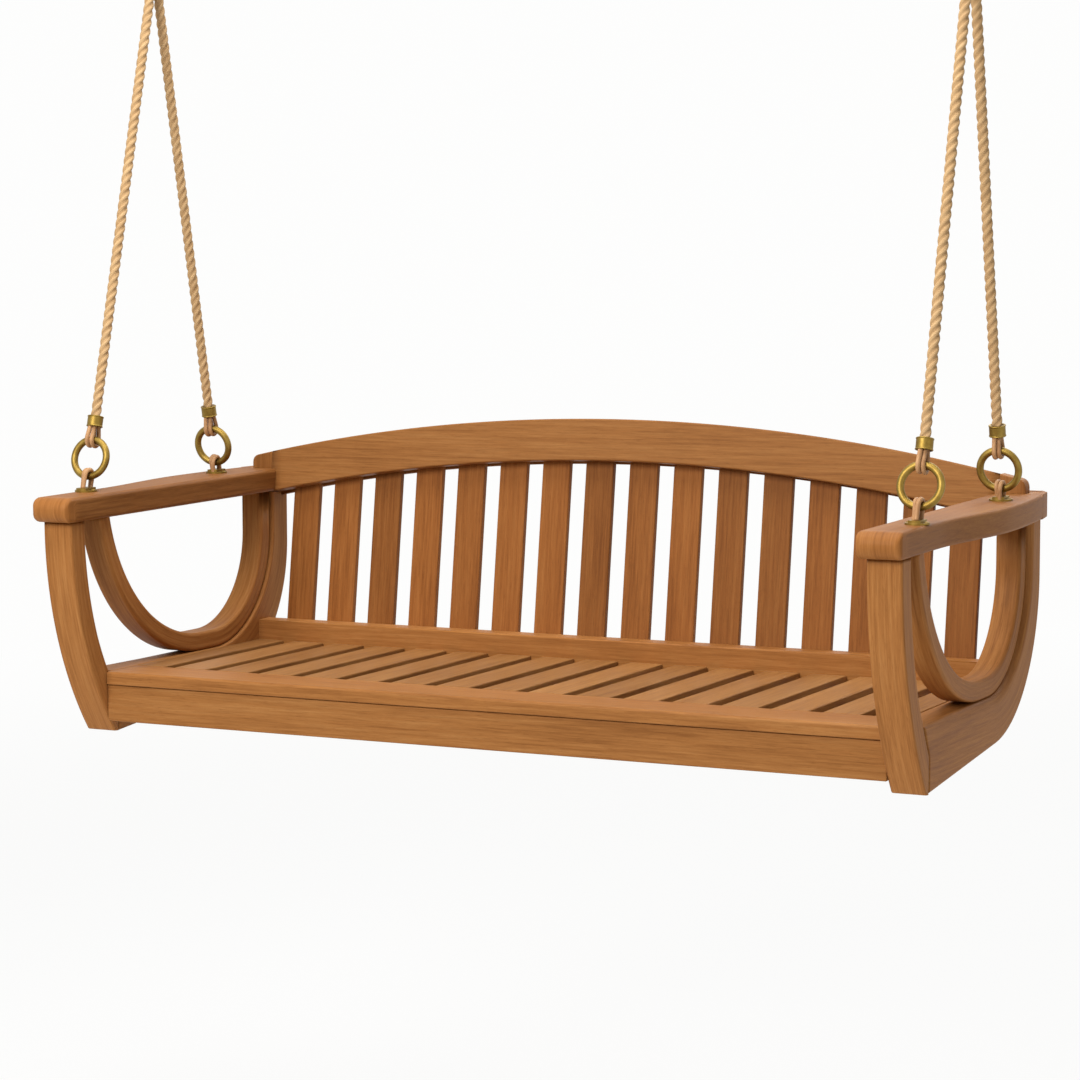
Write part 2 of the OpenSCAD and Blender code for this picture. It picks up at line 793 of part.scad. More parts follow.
for (i = [0 : back_slat_n - 1]) {
    hung() back_slat(i);
}
hung() front_leg(-1);  // front_leg_left
hung() front_leg(1);  // front_leg_right
hung() side_bow(-1);  // side_bow_left
hung() side_bow(1);  // side_bow_right
hung() arm_hoop(-1);  // arm_hoop_left
hung() arm_hoop(1);  // arm_hoop_right
hung() armrest(-1);  // armrest_left
hung() armrest(1);  // armrest_right
hung() seat_front_board();
hung() front_apron();
hung() seat_slats();
hung() seat_end_boards();
hung() seat_rail(front_ledger_y);  // seat_front_ledger
hung() seat_rail(mid_rail_y);  // seat_mid_rail
hung() seat_rail(back_rail_y);  // seat_back_rail
hung() back_bottom_rail();
hung() back_top_rail();
hung() back_cap_strip();
hung() frame_dowels();
hung() arm_plates();
hung() plate_screws();
hung() arm_loops(-1);  // arm_loops_left
hung() arm_loops(1);  // arm_loops_right
hung() lower_ring(front_rope, -1);  // ring_front_left
hung() lower_ring(rear_rope, -1);  // ring_rear_left
hung() lower_ring(front_rope, 1);  // ring_front_right
hung() lower_ring(rear_rope, 1);  // ring_rear_right
hung() rope_eyes(-1);  // rope_eyes_left
hung() rope_eyes(1);  // rope_eyes_right
hung() ferrules(-1);  // ferrules_left
hung() ferrules(1);  // ferrules_right
hung() rope(front_rope, -1);  // rope_front_left
hung() rope(rear_rope, -1);  // rope_rear_left
hung() rope(front_rope, 1);  // rope_front_right
hung() rope(rear_rope, 1);  // rope_rear_right
hung() rope_clamp(-1);  // rope_clamp_left
hung() rope_clamp(1);  // rope_clamp_right
hung() top_eye(-1);  // top_eye_left
hung() top_eye(1);  // top_eye_right
hung() top_ring(-1);  // top_ring_left
hung() top_ring(1);  // top_ring_right
placed() ceiling_hooks();
placed() ceiling_plates();
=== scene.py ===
"""A hanging swing bench: oiled hardwood, twisted ropes and aged brass, dressed over the
packed construction model. Lengths are in metres and angles in degrees."""

import math
import random

import bmesh
import bpy
from mathutils import Matrix, Vector


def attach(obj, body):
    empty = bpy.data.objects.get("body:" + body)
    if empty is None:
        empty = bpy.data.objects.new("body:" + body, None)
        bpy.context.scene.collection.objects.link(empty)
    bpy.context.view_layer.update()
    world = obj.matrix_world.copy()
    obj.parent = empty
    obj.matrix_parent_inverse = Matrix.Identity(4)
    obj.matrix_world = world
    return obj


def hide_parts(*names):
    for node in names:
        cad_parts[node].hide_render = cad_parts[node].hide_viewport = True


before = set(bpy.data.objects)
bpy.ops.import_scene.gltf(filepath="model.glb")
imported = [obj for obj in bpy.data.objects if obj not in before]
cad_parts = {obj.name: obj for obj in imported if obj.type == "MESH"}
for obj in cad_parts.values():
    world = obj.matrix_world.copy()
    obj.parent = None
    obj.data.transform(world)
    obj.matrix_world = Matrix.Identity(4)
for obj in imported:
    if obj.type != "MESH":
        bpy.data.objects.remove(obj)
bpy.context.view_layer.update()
chance = random.Random(7)

# ---- Driving sizes of the bench, laid out from the middle of the seat's front edge
SIDE_OUT = 0.756
SIDE_IN = 0.700
CEILING_H = 1.335  # over the seat
HANG_Y = 0.239  # depth of the swing's axis
HANG_TIP = 3.1  # how far the bench hangs tipped back
SWING_Z = 1.274  # height of the swing's axis
ROPE_X = 0.742

SEAT_T = 0.022
FRONT_BOARD_D = 0.095
SEAT_SLATS = 15
SEAT_SLOT = 0.023
SEAT_END_W = 0.053
APRON_SET = 0.004
APRON_T = 0.032
APRON_H = 0.063
SEAT_RAIL_W = 0.042
SEAT_RAIL_H = 0.036
SEAT_RAILS = {"seat_front_ledger": 0.074, "seat_mid_rail": 0.215, "seat_back_rail": 0.413}

BACK_LEAN = 7.5
BACK_Y = 0.503
LOW_RAIL_TOP = 0.036
LOW_RAIL_D = 0.042
BACK_H = 0.384
ARCH_RISE = 0.075
TOP_RAIL_H = 0.074
TOP_RAIL_T = 0.028
CAP_H = 0.042
CAP_T = 0.011
CAP_DROP = 0.003
BACK_SLATS = 16
BACK_SLAT_W = 0.054
BACK_SLAT_T = 0.013
BACK_END_GAP = 0.0355
SLAT_LAP = 0.028

LEG_R = 0.610
LEG_D = 0.042
LEG_FRONT = 0.097
LEG_UPRIGHT_Z = 0.260  # the leg's curve is upright here
BOW_JOINT_Y = 0.036
BEND_R = 0.200
BEND_Y = 0.358
POST_D = 0.054
HEAD_IN = 0.012  # the post's top is narrower by this, on its outer side
HEAD_D = 0.028
RAIL_EXTRA = 0.024  # the bow is this much thicker below its bend than POST_D
RAIL_SLOPE = 4.75  # of the rail's underside
RAIL_EDGE_R = 0.014

HOOP_W = 0.043
HOOP_T = 0.033
HOOP_FRONT_R = 0.330
HOOP_FLAT_Y = 0.318  # the hoop is flat from here to BEND_Y
HOOP_REAR_R = 0.198
HOOP_SET = 0.005  # from the frame's inner face

ARM_T = 0.042
ARM_H = 0.262
ARM_SLOPE = 0.8
ARM_FRONT = 0.125
EAR_LEN = 0.077
ARM_IN = 0.010
ARM_OUT = 0.006
ARM_OUT_SWELL = 0.026
ARM_TUCK = 0.026
BULGE_START = 0.060
BULGE_PEAK = 0.345
ARM_CORNER_R = 0.012
WRAP_IN = 0.004

RING_Z = 0.3625
RING_R = 0.032
RING_BAR_R = 0.006
STRAND_R = 0.0039
RING_CLEAR = 0.0009
EYE_LEAN = 13  # the eyes' legs lean together by this
PLATE_T = 0.003
SADDLE_H = 0.004
ROPE_D = 0.0175
FERRULE_R = 0.014
FERRULE_LEN = 0.019
FERRULE_GRIP = 0.010  # length of rope inside a ferrule
FERRULE_WALL = 0.0025
EYE_GRIP = 0.006  # length of strand inside a ferrule

# Middle lines of the ropes, from the ferrule up to the clamp, as (depth, height)
FRONT_ROPE = [(0.0394, 0.4235), (0.2301, 1.174)]
REAR_ROPE = [(0.4045, 0.4255), (0.2481, 1.174)]

# ---- Finish: radii of the rounded edges, and the small gaps that keep boards apart
EDGE = 0.0045
SMALL_EDGE = 0.0022
LEAST_R = 0.0003  # no rounded corner is sharper
FOOT_EDGE = 0.003
FREE_Z = 0.06  # the leg's rear edges are fully round from here up
SEAM = 0.0003  # between leg and bow
FACE_SET = 0.00015  # the bow's faces lie inside the leg's by this
JOINT_END_Y = 0.090  # from here back the rail's sections are upright
INTO_ARM = 0.002  # legs and hoops reach this far into the armrest
HOOP_START_IN = 0.003  # the same at the hoop's front end
HOOP_EDGE = 0.0055
POST_RISE = 0.001  # the post's edges turn small this far into the armrest
HEAD_ROUND = 0.012
HEAD_EDGE = 0.004
HEAD_SEAM = 0.0004  # a fine bevel on the post top's inner face
HEAD_SEAM_END = 0.002
HEAD_INNER_EDGE = 0.0005
ARM_EDGE = 0.007
END_EDGE = 0.007
WRAP_EDGE = 0.002
NOSE_FADE = 0.05  # length of the paler end grain at the nose
NOSE_FIRST = 4  # angle of the first section round the nose
NOSE_EDGE = 0.9  # its edges' radius there, as a share of its half height
FRONT_TOP_EDGE = 0.005
UNDER_EDGE = 0.002
FRONT_BOARD_GAP = 0.0006
APRON_GAP = 0.0008
SEAT_RAIL_GAP = 0.0005
LOW_RAIL_EDGE = 0.003
LOW_RAIL_CUT = 0.006  # at its rear foot
TOP_RAIL_EDGE = 0.003
CAP_EDGE = 0.0015
BACK_SLAT_SET = 0.0002

# How much lighter or darker a piece is than its wood, and how much boards vary by chance
TONE_REACH = 0.3  # a tone of 1 is lighter by this share
LEG_TONE = 0.3
BOW_TONE = 0.1
HOOP_TONE = 0.2
HEAD_TONE = -0.2
ARM_TONE = -0.15
NOSE_TONE = 1.1
LIGHT_TONE = 0.22  # front board and the back's bottom rail
TOP_RAIL_TONE = -0.5
BOARD_VARY = 0.5
SEAT_VARY = 0.25
SIDE_VARY = 0.08
ARM_VARY = 0.05

# ---- Colours of the materials on a screen, 0 to 255, from light to dark
TEAK = ((170, 118, 67), (156, 103, 54), (132, 83, 40))
# the armrests' wood is darker and more saturated: partly their own tone, partly painted shade
# for their shaded inner sides
TEAK_ARM_TONE_AND_SHADE = ((154, 104, 57), (141, 91, 46), (119, 73, 33))
TEAK_BACK = ((154, 100, 51), (140, 86, 40), (118, 69, 29))
# the seat's wood is paler and greyer than the frame's: painted sheen, the white reflection on
# the seat's top
TEAK_SEAT_SHEEN = ((164, 118, 70), (150, 103, 57), (127, 83, 42))
TEAK_SHADED = ((154, 102, 54), (140, 88, 43), (116, 71, 32))
AGED_BRASS = ((148, 123, 62), (136, 111, 53), (122, 97, 44))
ROPE_FIBRE = ((208, 174, 128), (166, 129, 87))
TAN_HIDE = ((194, 150, 106), (154, 109, 69))

# ---- Noise: features for each metre along the grain and across it, detail and roughness
BROAD = ((1.6, 15, 15), 2, 0.5)
STREAK = ((7, 210, 210), 4, 0.65)
FIBRE = ((26, 620, 620), 3, 0.65)
PORES = ((60, 1300, 1300), 1, 0.5)
PATINA = ((55, 55, 55), 4, 0.6)
PITTING = ((900, 900, 900), 2, 0.5)
ROPE_HAIR = ((60, 900, 900), 3, 0.6)
HIDE_GRAIN = ((60, 260, 260), 3, 0.6)
BLOTCH = ((25, 60, 60), 2, 0.5)

# Where a noise turns from one colour to the next, and how much each of them counts
WOOD_STOPS = (0.34, 0.50, 0.68)
BRASS_STOPS = (0.32, 0.50, 0.68)
CORD_STOPS = (0.32, 0.62)
FIBRE_STOPS = (0.30, 0.62)
FIBRE_TINTS = ((0.80, 0.78, 0.76), (1.05, 1.05, 1.05))
PORE_STOPS = (0.27, 0.36)
PORE_TINTS = ((0.72, 0.66, 0.62), (1, 1, 1))
STREAK_SHARE = 0.66
BLOTCH_SHARE = 0.3
FIBRE_DEPTH = 0.75
PORE_DEPTH = 0.8
# how far the colour darkens in the rope's grooves: painted shade in the creases between strands
GROOVE_SHADE = 0.5

# Growth rings: waves about the plank's length
RING_GRAIN = (0.35, 5.0, 5.0)
RING_WAVE = {"Scale": 5.0, "Distortion": 5.0, "Detail": 2.0, "Detail Scale": 0.6}
RING_SHARP = 3.0
RING_DEPTH = 0.14

# Roughness (at a noise of 0 and of 1), shine, and relief as its strength and depth
WOOD_ROUGH = (0.42, 0.60)
BRASS_ROUGH = (0.52, 0.44)
ROPE_ROUGH = 0.85
HIDE_ROUGH = 0.5
FLOOR_ROUGH = 0.9
WOOD_SHINE = 0.09
CORD_SHINE = 0.25
FLOOR_SHINE = 0.1
FIBRE_RELIEF = 0.6
PORE_RELIEF = 0.5
RELIEF = (0.35, 0.0004)
BRASS_RELIEF = (0.12, 0.0002)

# ---- Ropes, strands and fittings
ROPE_LAY = 0.048  # length of one turn of the rope
LAID_STRAND = 0.60  # a strand's radius, as a share of the rope's
GROOVE_FLOOR = 0.80  # radius in the grooves, the same way
STRAND_PLAY = 0.0001
LOOP_IN = 0.005  # a loop's legs go this far into the saddle
LOOP_TURN = 48  # the strands of a pair turn by this either way
EYE_SHORT = 0.003
FERRULE_RIM = 0.0013
FERRULE_WAIST = 0.0007
RIM_BENDS = 2.3  # the waist starts this many rims from the end
RIM_TURN = 70  # a rim's section is round by this either way
ROPE_PLAY = 0.0003
PLATE_EDGE = 0.0006
SCREW_EDGE = 0.0003
CEILING_EDGE = 0.001
CLAMP_EDGE = 0.002
EYE_EDGE = 0.0003
WELD = 0.000005
FLAT_ANGLE = 0.6
SHARP_ANGLE = 40
NORMAL_WEIGHT = 80

# ---- Steps of the meshes: cross-sections along a piece, and points round them
CORNER_STEPS = 4
SIDE_STEPS = 14
SIDE_FRAME_STEPS = 40
JOINT_STEPS = 6
JOINT_POINTS = 12
RAIL_STEPS = 12
BEND_STEPS = 30
FOOT_STEPS = 3
HEAD_STEPS = 5
HEAD_TURNS = 6
ARM_STEPS = 70
NOSE_STEPS = 20
WRAP_STEPS = 8
EAR_STEPS = 10
ARCH_STEPS = 64
ROPE_STEP = 0.0018
ROPE_SIDES = 42
TUBE_SIDES = 16
RING_STEPS = 72
RING_SIDES = 20
RAIL_ROUND_STEPS = 3
BEVEL_STEPS = 3
TURNED_SIDES = 48
RIM_STEPS = 6
LOOP_LEG_STEPS = 8
LOOP_BEND_STEPS = 28

# ---- Camera fitted to the photograph, in the bench's own layout
CAM_PLACE = (2.179, -4.261, 0.694)
CAM_AZIMUTH = 25.77
CAM_ELEVATION = 5.26
CAM_FOCAL_PX = 3009
CAM_REACH = 60
PHOTO_PX = 1080
SENSOR = 36.0

# ---- Studio
FLOOR_BELOW_SEAT = 0.95
FLOOR_REACH = 30
FLOOR_COLOUR = (0.86, 0.86, 0.855, 1)
PALE = (0.985, 0.985, 0.98, 1)
SHADOW_NEAR = 1.0
SHADOW_FAR = 6.0
FLOOR_GLOW = 0.85  # how much of the near floor is plain white
WORLD_LEVEL = 0.22  # as a light; it looks white
LAMP_AIM = (0, 0, -1.2)
WARM = (1.0, 0.98, 0.95)
WHITE = (1.0, 1.0, 1.0)

# Each lamp's place, size, power and colour
LAMPS = {
    "key": ((-0.8, -4.4, 1.4), 2.4, 200, WARM),
    "top": ((0.0, -0.4, 2.4), 3.2, 140, WHITE),
    "rim": ((0.5, 3.2, 1.2), 2.5, 50, WHITE),
    "fill": ((4.2, -1.0, -0.6), 2.5, 14, WHITE),
}

# ---- Values that follow from the driving sizes
ARCH_R = (SIDE_IN**2 + ARCH_RISE**2) / (2 * ARCH_RISE)
POST_Y = BEND_Y + BEND_R
BOW_OUT_R = BEND_R + POST_D
BOW_CZ = BEND_R - RAIL_EXTRA
SLOPE_Y = BEND_Y + BOW_OUT_R * math.sin(math.radians(RAIL_SLOPE))
SLOPE_Z = BOW_CZ - BOW_OUT_R * math.cos(math.radians(RAIL_SLOPE))
LEG_CY = LEG_R - LEG_FRONT
ARCH_TOP_Z = (
    LOW_RAIL_TOP
    + BACK_H * math.cos(math.radians(BACK_LEAN))
    + TOP_RAIL_T * math.sin(math.radians(BACK_LEAN))
)

# From the bench's own layout to the frame of the model, tipped back about the hooks
HUNG = (
    Matrix.Translation((0, 0, SWING_Z - CEILING_H))
    @ Matrix.Rotation(math.radians(-HANG_TIP), 4, "X")
    @ Matrix.Translation((0, -HANG_Y, -SWING_Z))
)
LEANED = Matrix.Translation((0, BACK_Y + LOW_RAIL_D, LOW_RAIL_TOP)) @ Matrix.Rotation(
    math.radians(-BACK_LEAN), 4, "X"
)


def underside(y):
    """Height of the side rail's lower edge."""
    return SLOPE_Z - (SLOPE_Y - y) * math.tan(math.radians(RAIL_SLOPE))


def arm_under(y):
    """Height of the armrest's underside."""
    return ARM_H + (y + ARM_FRONT) * math.tan(math.radians(ARM_SLOPE))


def arm_top(y):
    """Height of its top."""
    return arm_under(y) + ARM_T / math.cos(math.radians(ARM_SLOPE))


def arch_z(x):
    """Height of the back's arched top, upright."""
    return ARCH_TOP_Z - ARCH_R + math.sqrt(ARCH_R**2 - x * x)


def leaned_arch(radius, x):
    """Height of one of the back's arcs, measured along the leaning back."""
    return BACK_H - ARCH_R + math.sqrt(radius**2 - x * x)


def span(a, b, n):
    """Both ends and n - 1 places between them."""
    return [a + (b - a) * i / n for i in range(n + 1)]


def turns(a, b, n):
    """The same for two angles, in radians."""
    return [math.radians(angle) for angle in span(a, b, n)]


def circle(n):
    """Angles all round, in radians."""
    return [2 * math.pi * i / n for i in range(n)]


def smooth(t):
    """From 0 to 1 with a soft start and end."""
    t = min(1, max(0, t))
    return t * t * (3 - 2 * t)


def arm_edges(y):
    """Where the inner and outer edges of an armrest run, at one depth."""
    bulge = smooth((y - BULGE_START) / (BULGE_PEAK - BULGE_START))
    tuck = max(0, (y - BULGE_PEAK) / (POST_Y + EAR_LEN - BULGE_PEAK))
    return SIDE_IN - ARM_IN, SIDE_OUT + ARM_OUT + ARM_OUT_SWELL * bulge - ARM_TUCK * tuck * tuck


def in_scene(name, data):
    """An object made of some data, in the scene."""
    made = bpy.data.objects.new(name, data)
    bpy.context.scene.collection.objects.link(made)
    return made


# ---- Camera
def make_camera():
    """The camera at the photograph's viewing angle."""
    a = math.radians(CAM_AZIMUTH)
    e = math.radians(CAM_ELEVATION)
    back = Vector((math.sin(a) * math.cos(e), -math.cos(a) * math.cos(e), math.sin(e)))
    right = Vector((math.cos(a), math.sin(a), 0))
    up = back.cross(right)
    place = Matrix((right, up, back)).transposed().to_4x4()
    place.translation = Vector(CAM_PLACE)
    data = bpy.data.cameras.new("camera")
    data.sensor_width = SENSOR
    data.lens = CAM_FOCAL_PX / PHOTO_PX * SENSOR
    data.clip_end = CAM_REACH
    camera = in_scene("camera", data)
    camera.matrix_world = HUNG @ place
    bpy.context.scene.camera = camera


# ---- Materials
class Nodes:
    """Short calls to build one node material."""

    def __init__(self, name):
        self.material = bpy.data.materials.new(name)
        self.material.use_nodes = True
        self.tree = self.material.node_tree
        self.shader = self.tree.nodes["Principled BSDF"]

    def add(self, kind, inputs=None, **settings):
        node = self.tree.nodes.new(kind)
        for key, value in settings.items():
            setattr(node, key, value)
        for key, value in (inputs or {}).items():
            node.inputs[key].default_value = value
        return node

    def link(self, a, b):
        self.tree.links.new(a, b)

    def math(self, operation, a, b=0.0):
        node = self.add("ShaderNodeMath", operation=operation)
        for socket, value in zip(node.inputs, (a, b)):
            if isinstance(value, (int, float)):
                socket.default_value = value
            else:
                self.link(value, socket)
        return node.outputs[0]

    def attribute(self, name):
        return self.add("ShaderNodeAttribute", attribute_name=name)

    def scaled(self, vector, scale):
        node = self.add("ShaderNodeVectorMath", operation="MULTIPLY")
        self.link(vector, node.inputs[0])
        node.inputs[1].default_value = scale
        return node.outputs[0]

    def noise(self, vector, scales, detail, roughness):
        inputs = {"Scale": 1.0, "Detail": detail, "Roughness": roughness}
        node = self.add("ShaderNodeTexNoise", inputs)
        self.link(self.scaled(vector, scales), node.inputs["Vector"])
        return node.outputs["Fac"]

    def ramp(self, value, stops, colours):
        node = self.add("ShaderNodeValToRGB")
        ramp = node.color_ramp
        while len(ramp.elements) < len(stops):
            ramp.elements.new(0.5)
        for element, stop, colour in zip(ramp.elements, stops, colours):
            element.position = stop
            element.color = (*colour, 1)
        self.link(value, node.inputs[0])
        return node.outputs[0]

    def mix(self, factor, a, b, blend="MIX"):
        node = self.add("ShaderNodeMix", data_type="RGBA", blend_type=blend)
        for index, value in ((0, factor), (6, a), (7, b)):
            if isinstance(value, (int, float)):
                node.inputs[index].default_value = value
            elif isinstance(value, tuple):
                node.inputs[index].default_value = (*value, 1)
            else:
                self.link(value, node.inputs[index])
        return node.outputs[2]

    def rough(self, value, at_zero, at_one):
        """Roughness that goes from one level to the other with a value."""
        node = self.add("ShaderNodeMapRange", {"To Min": at_zero, "To Max": at_one})
        self.link(value, node.inputs["Value"])
        self.link(node.outputs[0], self.shader.inputs["Roughness"])

    def relief(self, height, strength, distance):
        node = self.add("ShaderNodeBump", {"Strength": strength, "Distance": distance})
        self.link(height, node.inputs["Height"])
        self.link(node.outputs[0], self.shader.inputs["Normal"])


def srgb(colour):
    """Linear values of a colour written as on a screen, 0 to 255."""
    out = []
    for c in colour:
        c /= 255
        out.append(c / 12.92 if c <= 0.04045 else ((c + 0.055) / 1.055) ** 2.4)
    return tuple(out)


def wood_material(name, colours):
    """Fine-grained oiled wood. The point attribute grain holds a place in the plank, as
    (along, across, across), and tone makes the piece lighter or darker."""
    light, middle, dark = [srgb(c) for c in colours]
    m = Nodes(name)
    grain = m.attribute("grain").outputs["Vector"]
    tone = m.attribute("tone").outputs["Fac"]
    broad = m.noise(grain, *BROAD)
    streak = m.noise(grain, *STREAK)
    fibre = m.noise(grain, *FIBRE)
    pores = m.noise(grain, *PORES)
    rings = m.add("ShaderNodeTexWave", RING_WAVE, wave_type="RINGS", rings_direction="X")
    m.link(m.scaled(grain, RING_GRAIN), rings.inputs["Vector"])

    value = m.math("MULTIPLY", broad, 1 - STREAK_SHARE)
    value = m.math("ADD", value, m.math("MULTIPLY", streak, STREAK_SHARE))
    base = m.ramp(value, WOOD_STOPS, (dark, middle, light))
    line = m.math("POWER", rings.outputs["Fac"], RING_SHARP)
    base = m.mix(m.math("MULTIPLY", line, RING_DEPTH), base, dark)
    base = m.mix(FIBRE_DEPTH, base, m.ramp(fibre, FIBRE_STOPS, FIBRE_TINTS), "MULTIPLY")
    base = m.mix(PORE_DEPTH, base, m.ramp(pores, PORE_STOPS, PORE_TINTS), "MULTIPLY")
    level = m.math("ADD", m.math("MULTIPLY", tone, TONE_REACH), 1.0)
    base = m.mix(1.0, base, level, "MULTIPLY")
    m.link(base, m.shader.inputs["Base Color"])
    m.rough(streak, *WOOD_ROUGH)
    m.shader.inputs["Specular IOR Level"].default_value = WOOD_SHINE
    height = m.math("MULTIPLY", fibre, FIBRE_RELIEF)
    height = m.math("ADD", height, m.math("MULTIPLY", pores, PORE_RELIEF))
    m.relief(height, *RELIEF)
    return m.material


def brass_material(name):
    """Aged metal with a faint, cloudy patina."""
    m = Nodes(name)
    place = m.add("ShaderNodeTexCoord").outputs["Object"]
    patina = m.noise(place, *PATINA)
    base = m.ramp(patina, BRASS_STOPS, [srgb(c) for c in reversed(AGED_BRASS)])
    m.link(base, m.shader.inputs["Base Color"])
    m.shader.inputs["Metallic"].default_value = 1.0
    m.rough(patina, *BRASS_ROUGH)
    m.relief(m.noise(place, *PITTING), *BRASS_RELIEF)
    return m.material


def strand_material(name, colours, hair, roughness):
    """Fibrous cord. grain holds a place in it, along it first, and groove is 1 between the
    strands, where the colour is darkened as painted shade."""
    light, dark = [srgb(c) for c in colours]
    m = Nodes(name)
    grain = m.attribute("grain").outputs["Vector"]
    fibre = m.noise(grain, *hair)
    blotch = m.noise(grain, *BLOTCH)
    groove = m.attribute("groove").outputs["Fac"]
    value = m.math("MULTIPLY", fibre, 1 - BLOTCH_SHARE)
    value = m.math("ADD", value, m.math("MULTIPLY", blotch, BLOTCH_SHARE))
    base = m.ramp(value, CORD_STOPS, (dark, light))
    # painted shade: the colour darkens in the grooves between the strands
    base = m.mix(m.math("MULTIPLY", groove, GROOVE_SHADE), base, dark)
    m.link(base, m.shader.inputs["Base Color"])
    m.shader.inputs["Roughness"].default_value = roughness
    m.shader.inputs["Specular IOR Level"].default_value = CORD_SHINE
    m.relief(fibre, *RELIEF)
    return m.material


WOOD = wood_material("teak", TEAK)
# darker armrest wood: partly its own tone, partly painted shade
ARM_WOOD_AND_SHADE = wood_material("teak_arm_and_shade", TEAK_ARM_TONE_AND_SHADE)
BACK_WOOD = wood_material("teak_back", TEAK_BACK)
# paler, greyer seat wood: painted sheen of white reflection on the seat
SEAT_SHEEN_WOOD = wood_material("teak_seat_sheen", TEAK_SEAT_SHEEN)
HIDDEN_WOOD = wood_material("teak_shaded", TEAK_SHADED)
BRASS = brass_material("aged_brass")
ROPE = strand_material("rope_fibre", ROPE_FIBRE, ROPE_HAIR, ROPE_ROUGH)
HIDE = strand_material("tan_leather", TAN_HIDE, HIDE_GRAIN, HIDE_ROUGH)


# ---- Mesh helpers
class Piece:
    """Collects rings of points into one mesh. Every point has its place in the grain."""

    def __init__(self, name, material, slot):
        self.name = name
        self.material = material
        self.slot = slot
        self.mesh = bmesh.new()
        self.grain = self.mesh.verts.layers.float_vector.new("grain")
        self.tone = self.mesh.verts.layers.float.new("tone")
        self.groove = self.mesh.verts.layers.float.new("groove")

    def loft(self, rings, tone=0.0, grooves=None, tones=None, closed=False):
        """Joins rings by quads. A ring is a list of points with their grain. tones holds
        what each ring adds to the tone, and grooves the depth of each point of a ring."""
        made = []
        for i, ring in enumerate(rings):
            row = []
            for j, (point, grain) in enumerate(ring):
                v = self.mesh.verts.new(point)
                v[self.grain] = grain
                v[self.tone] = tone + (tones[i] if tones else 0.0)
                v[self.groove] = grooves[j] if grooves else 0.0
                row.append(v)
            made.append(row)
        pairs = list(zip(made, made[1:]))
        if closed:
            pairs.append((made[-1], made[0]))
        for a, b in pairs:
            for j in range(len(a)):
                k = (j + 1) % len(a)
                self.mesh.faces.new((a[j], a[k], b[k], b[j]))
        if not closed:
            self.mesh.faces.new(list(reversed(made[0])))
            self.mesh.faces.new(made[-1])

    def done(self, body, node):
        """Makes the object, which rides on a body and stands for a node of the model."""
        for face in self.mesh.faces:
            face.smooth = True
        bmesh.ops.recalc_face_normals(self.mesh, faces=self.mesh.faces)
        data = bpy.data.meshes.new(self.name)
        self.mesh.to_mesh(data)
        self.mesh.free()
        data.materials.append(self.material)
        piece = in_scene(self.name, data)
        piece.modifiers.new("weigh", "WEIGHTED_NORMAL").weight = NORMAL_WEIGHT
        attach(piece, body)
        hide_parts(node)
        return piece


def rounded(width, height, radii, inset=0.0):
    """Points round a rectangle from (0, 0), with a radius for each of its corners."""
    points = []
    corners = [(0, 0, 180), (width, 0, 270), (width, height, 0), (0, height, 90)]
    for (a, b, start), radius in zip(corners, radii):
        r = max(radius - inset, LEAST_R)
        ca = a + (inset + r) * (1 if a == 0 else -1)
        cb = b + (inset + r) * (1 if b == 0 else -1)
        for t in turns(start, start + 90, CORNER_STEPS):
            points.append((ca + r * math.cos(t), cb + r * math.sin(t)))
    return points


def end_rings(length, radius):
    """Places along a member and the inset there, so that its ends are rounded."""
    out = []
    for t in turns(0, 90, CORNER_STEPS):
        out.append((radius * (1 - math.cos(t)), radius * (1 - math.sin(t))))
    return out + [(length - s, inset) for s, inset in reversed(out)]


def shift():
    """Where a piece's grain is taken from: far apart for each board."""
    return Vector((chance.uniform(0, 9), chance.uniform(0, 9), chance.uniform(0, 9)))


def board(piece, low, high, along, radius, place=HUNG, radii=None, vary=BOARD_VARY, tone=0.0):
    """A straight board between two corners, with its grain along one axis."""
    low = Vector(low)
    k = "xyz".index(along)
    a, b = [i for i in range(3) if i != k]
    size = Vector(high) - low
    offset = shift()
    rings = []
    radii = radii or (radius,) * 4
    for s, inset in end_rings(size[k], radius):
        ring = []
        for u, v in rounded(size[a], size[b], radii, inset):
            p = low.copy()
            p[k] += s
            p[a] += u
            p[b] += v
            ring.append((place @ p, offset + Vector((p[k], p[a], p[b]))))
        rings.append(ring)
    piece.loft(rings, tone + chance.uniform(-vary, vary))


def profile(width, depth, radii):
    """The rounded rectangle with more points along its two long sides."""
    points = rounded(width, depth, radii)
    half = 2 * (CORNER_STEPS + 1)
    out = []
    for i, p in enumerate(points):
        out.append(p)
        q = points[(i + 1) % len(points)]
        if i in (half - 1, 2 * half - 1):
            for k in range(1, SIDE_STEPS):
                t = k / SIDE_STEPS
                out.append((p[0] + (q[0] - p[0]) * t, p[1] + (q[1] - p[1]) * t))
    return out


def side_member(piece, side, x0, width, stations, tone):
    """A bent piece in a side frame. Each station is the line that its cross-section
    follows from one edge of the piece to the other, as points (y, z), and the radii of its
    corners."""
    offset = shift()
    rings = []
    run = 0.0
    before = None
    for line, radii in stations:
        ends = [Vector(line[0]), Vector(line[-1])]
        middle = (ends[0] + ends[1]) / 2
        run += (middle - before).length if before else 0.0
        before = middle
        depth = (ends[1] - ends[0]).length
        ring = []
        for u, v in profile(width, depth, radii):
            t = v / depth * (len(line) - 1)
            k = min(int(t), len(line) - 2)
            p = Vector(line[k]).lerp(Vector(line[k + 1]), t - k)
            point = HUNG @ Vector((side * (x0 + u), p[0], p[1]))
            ring.append((point, offset + Vector((run, v, u))))
        rings.append(ring)
    piece.loft(rings, tone + chance.uniform(-SIDE_VARY, SIDE_VARY))


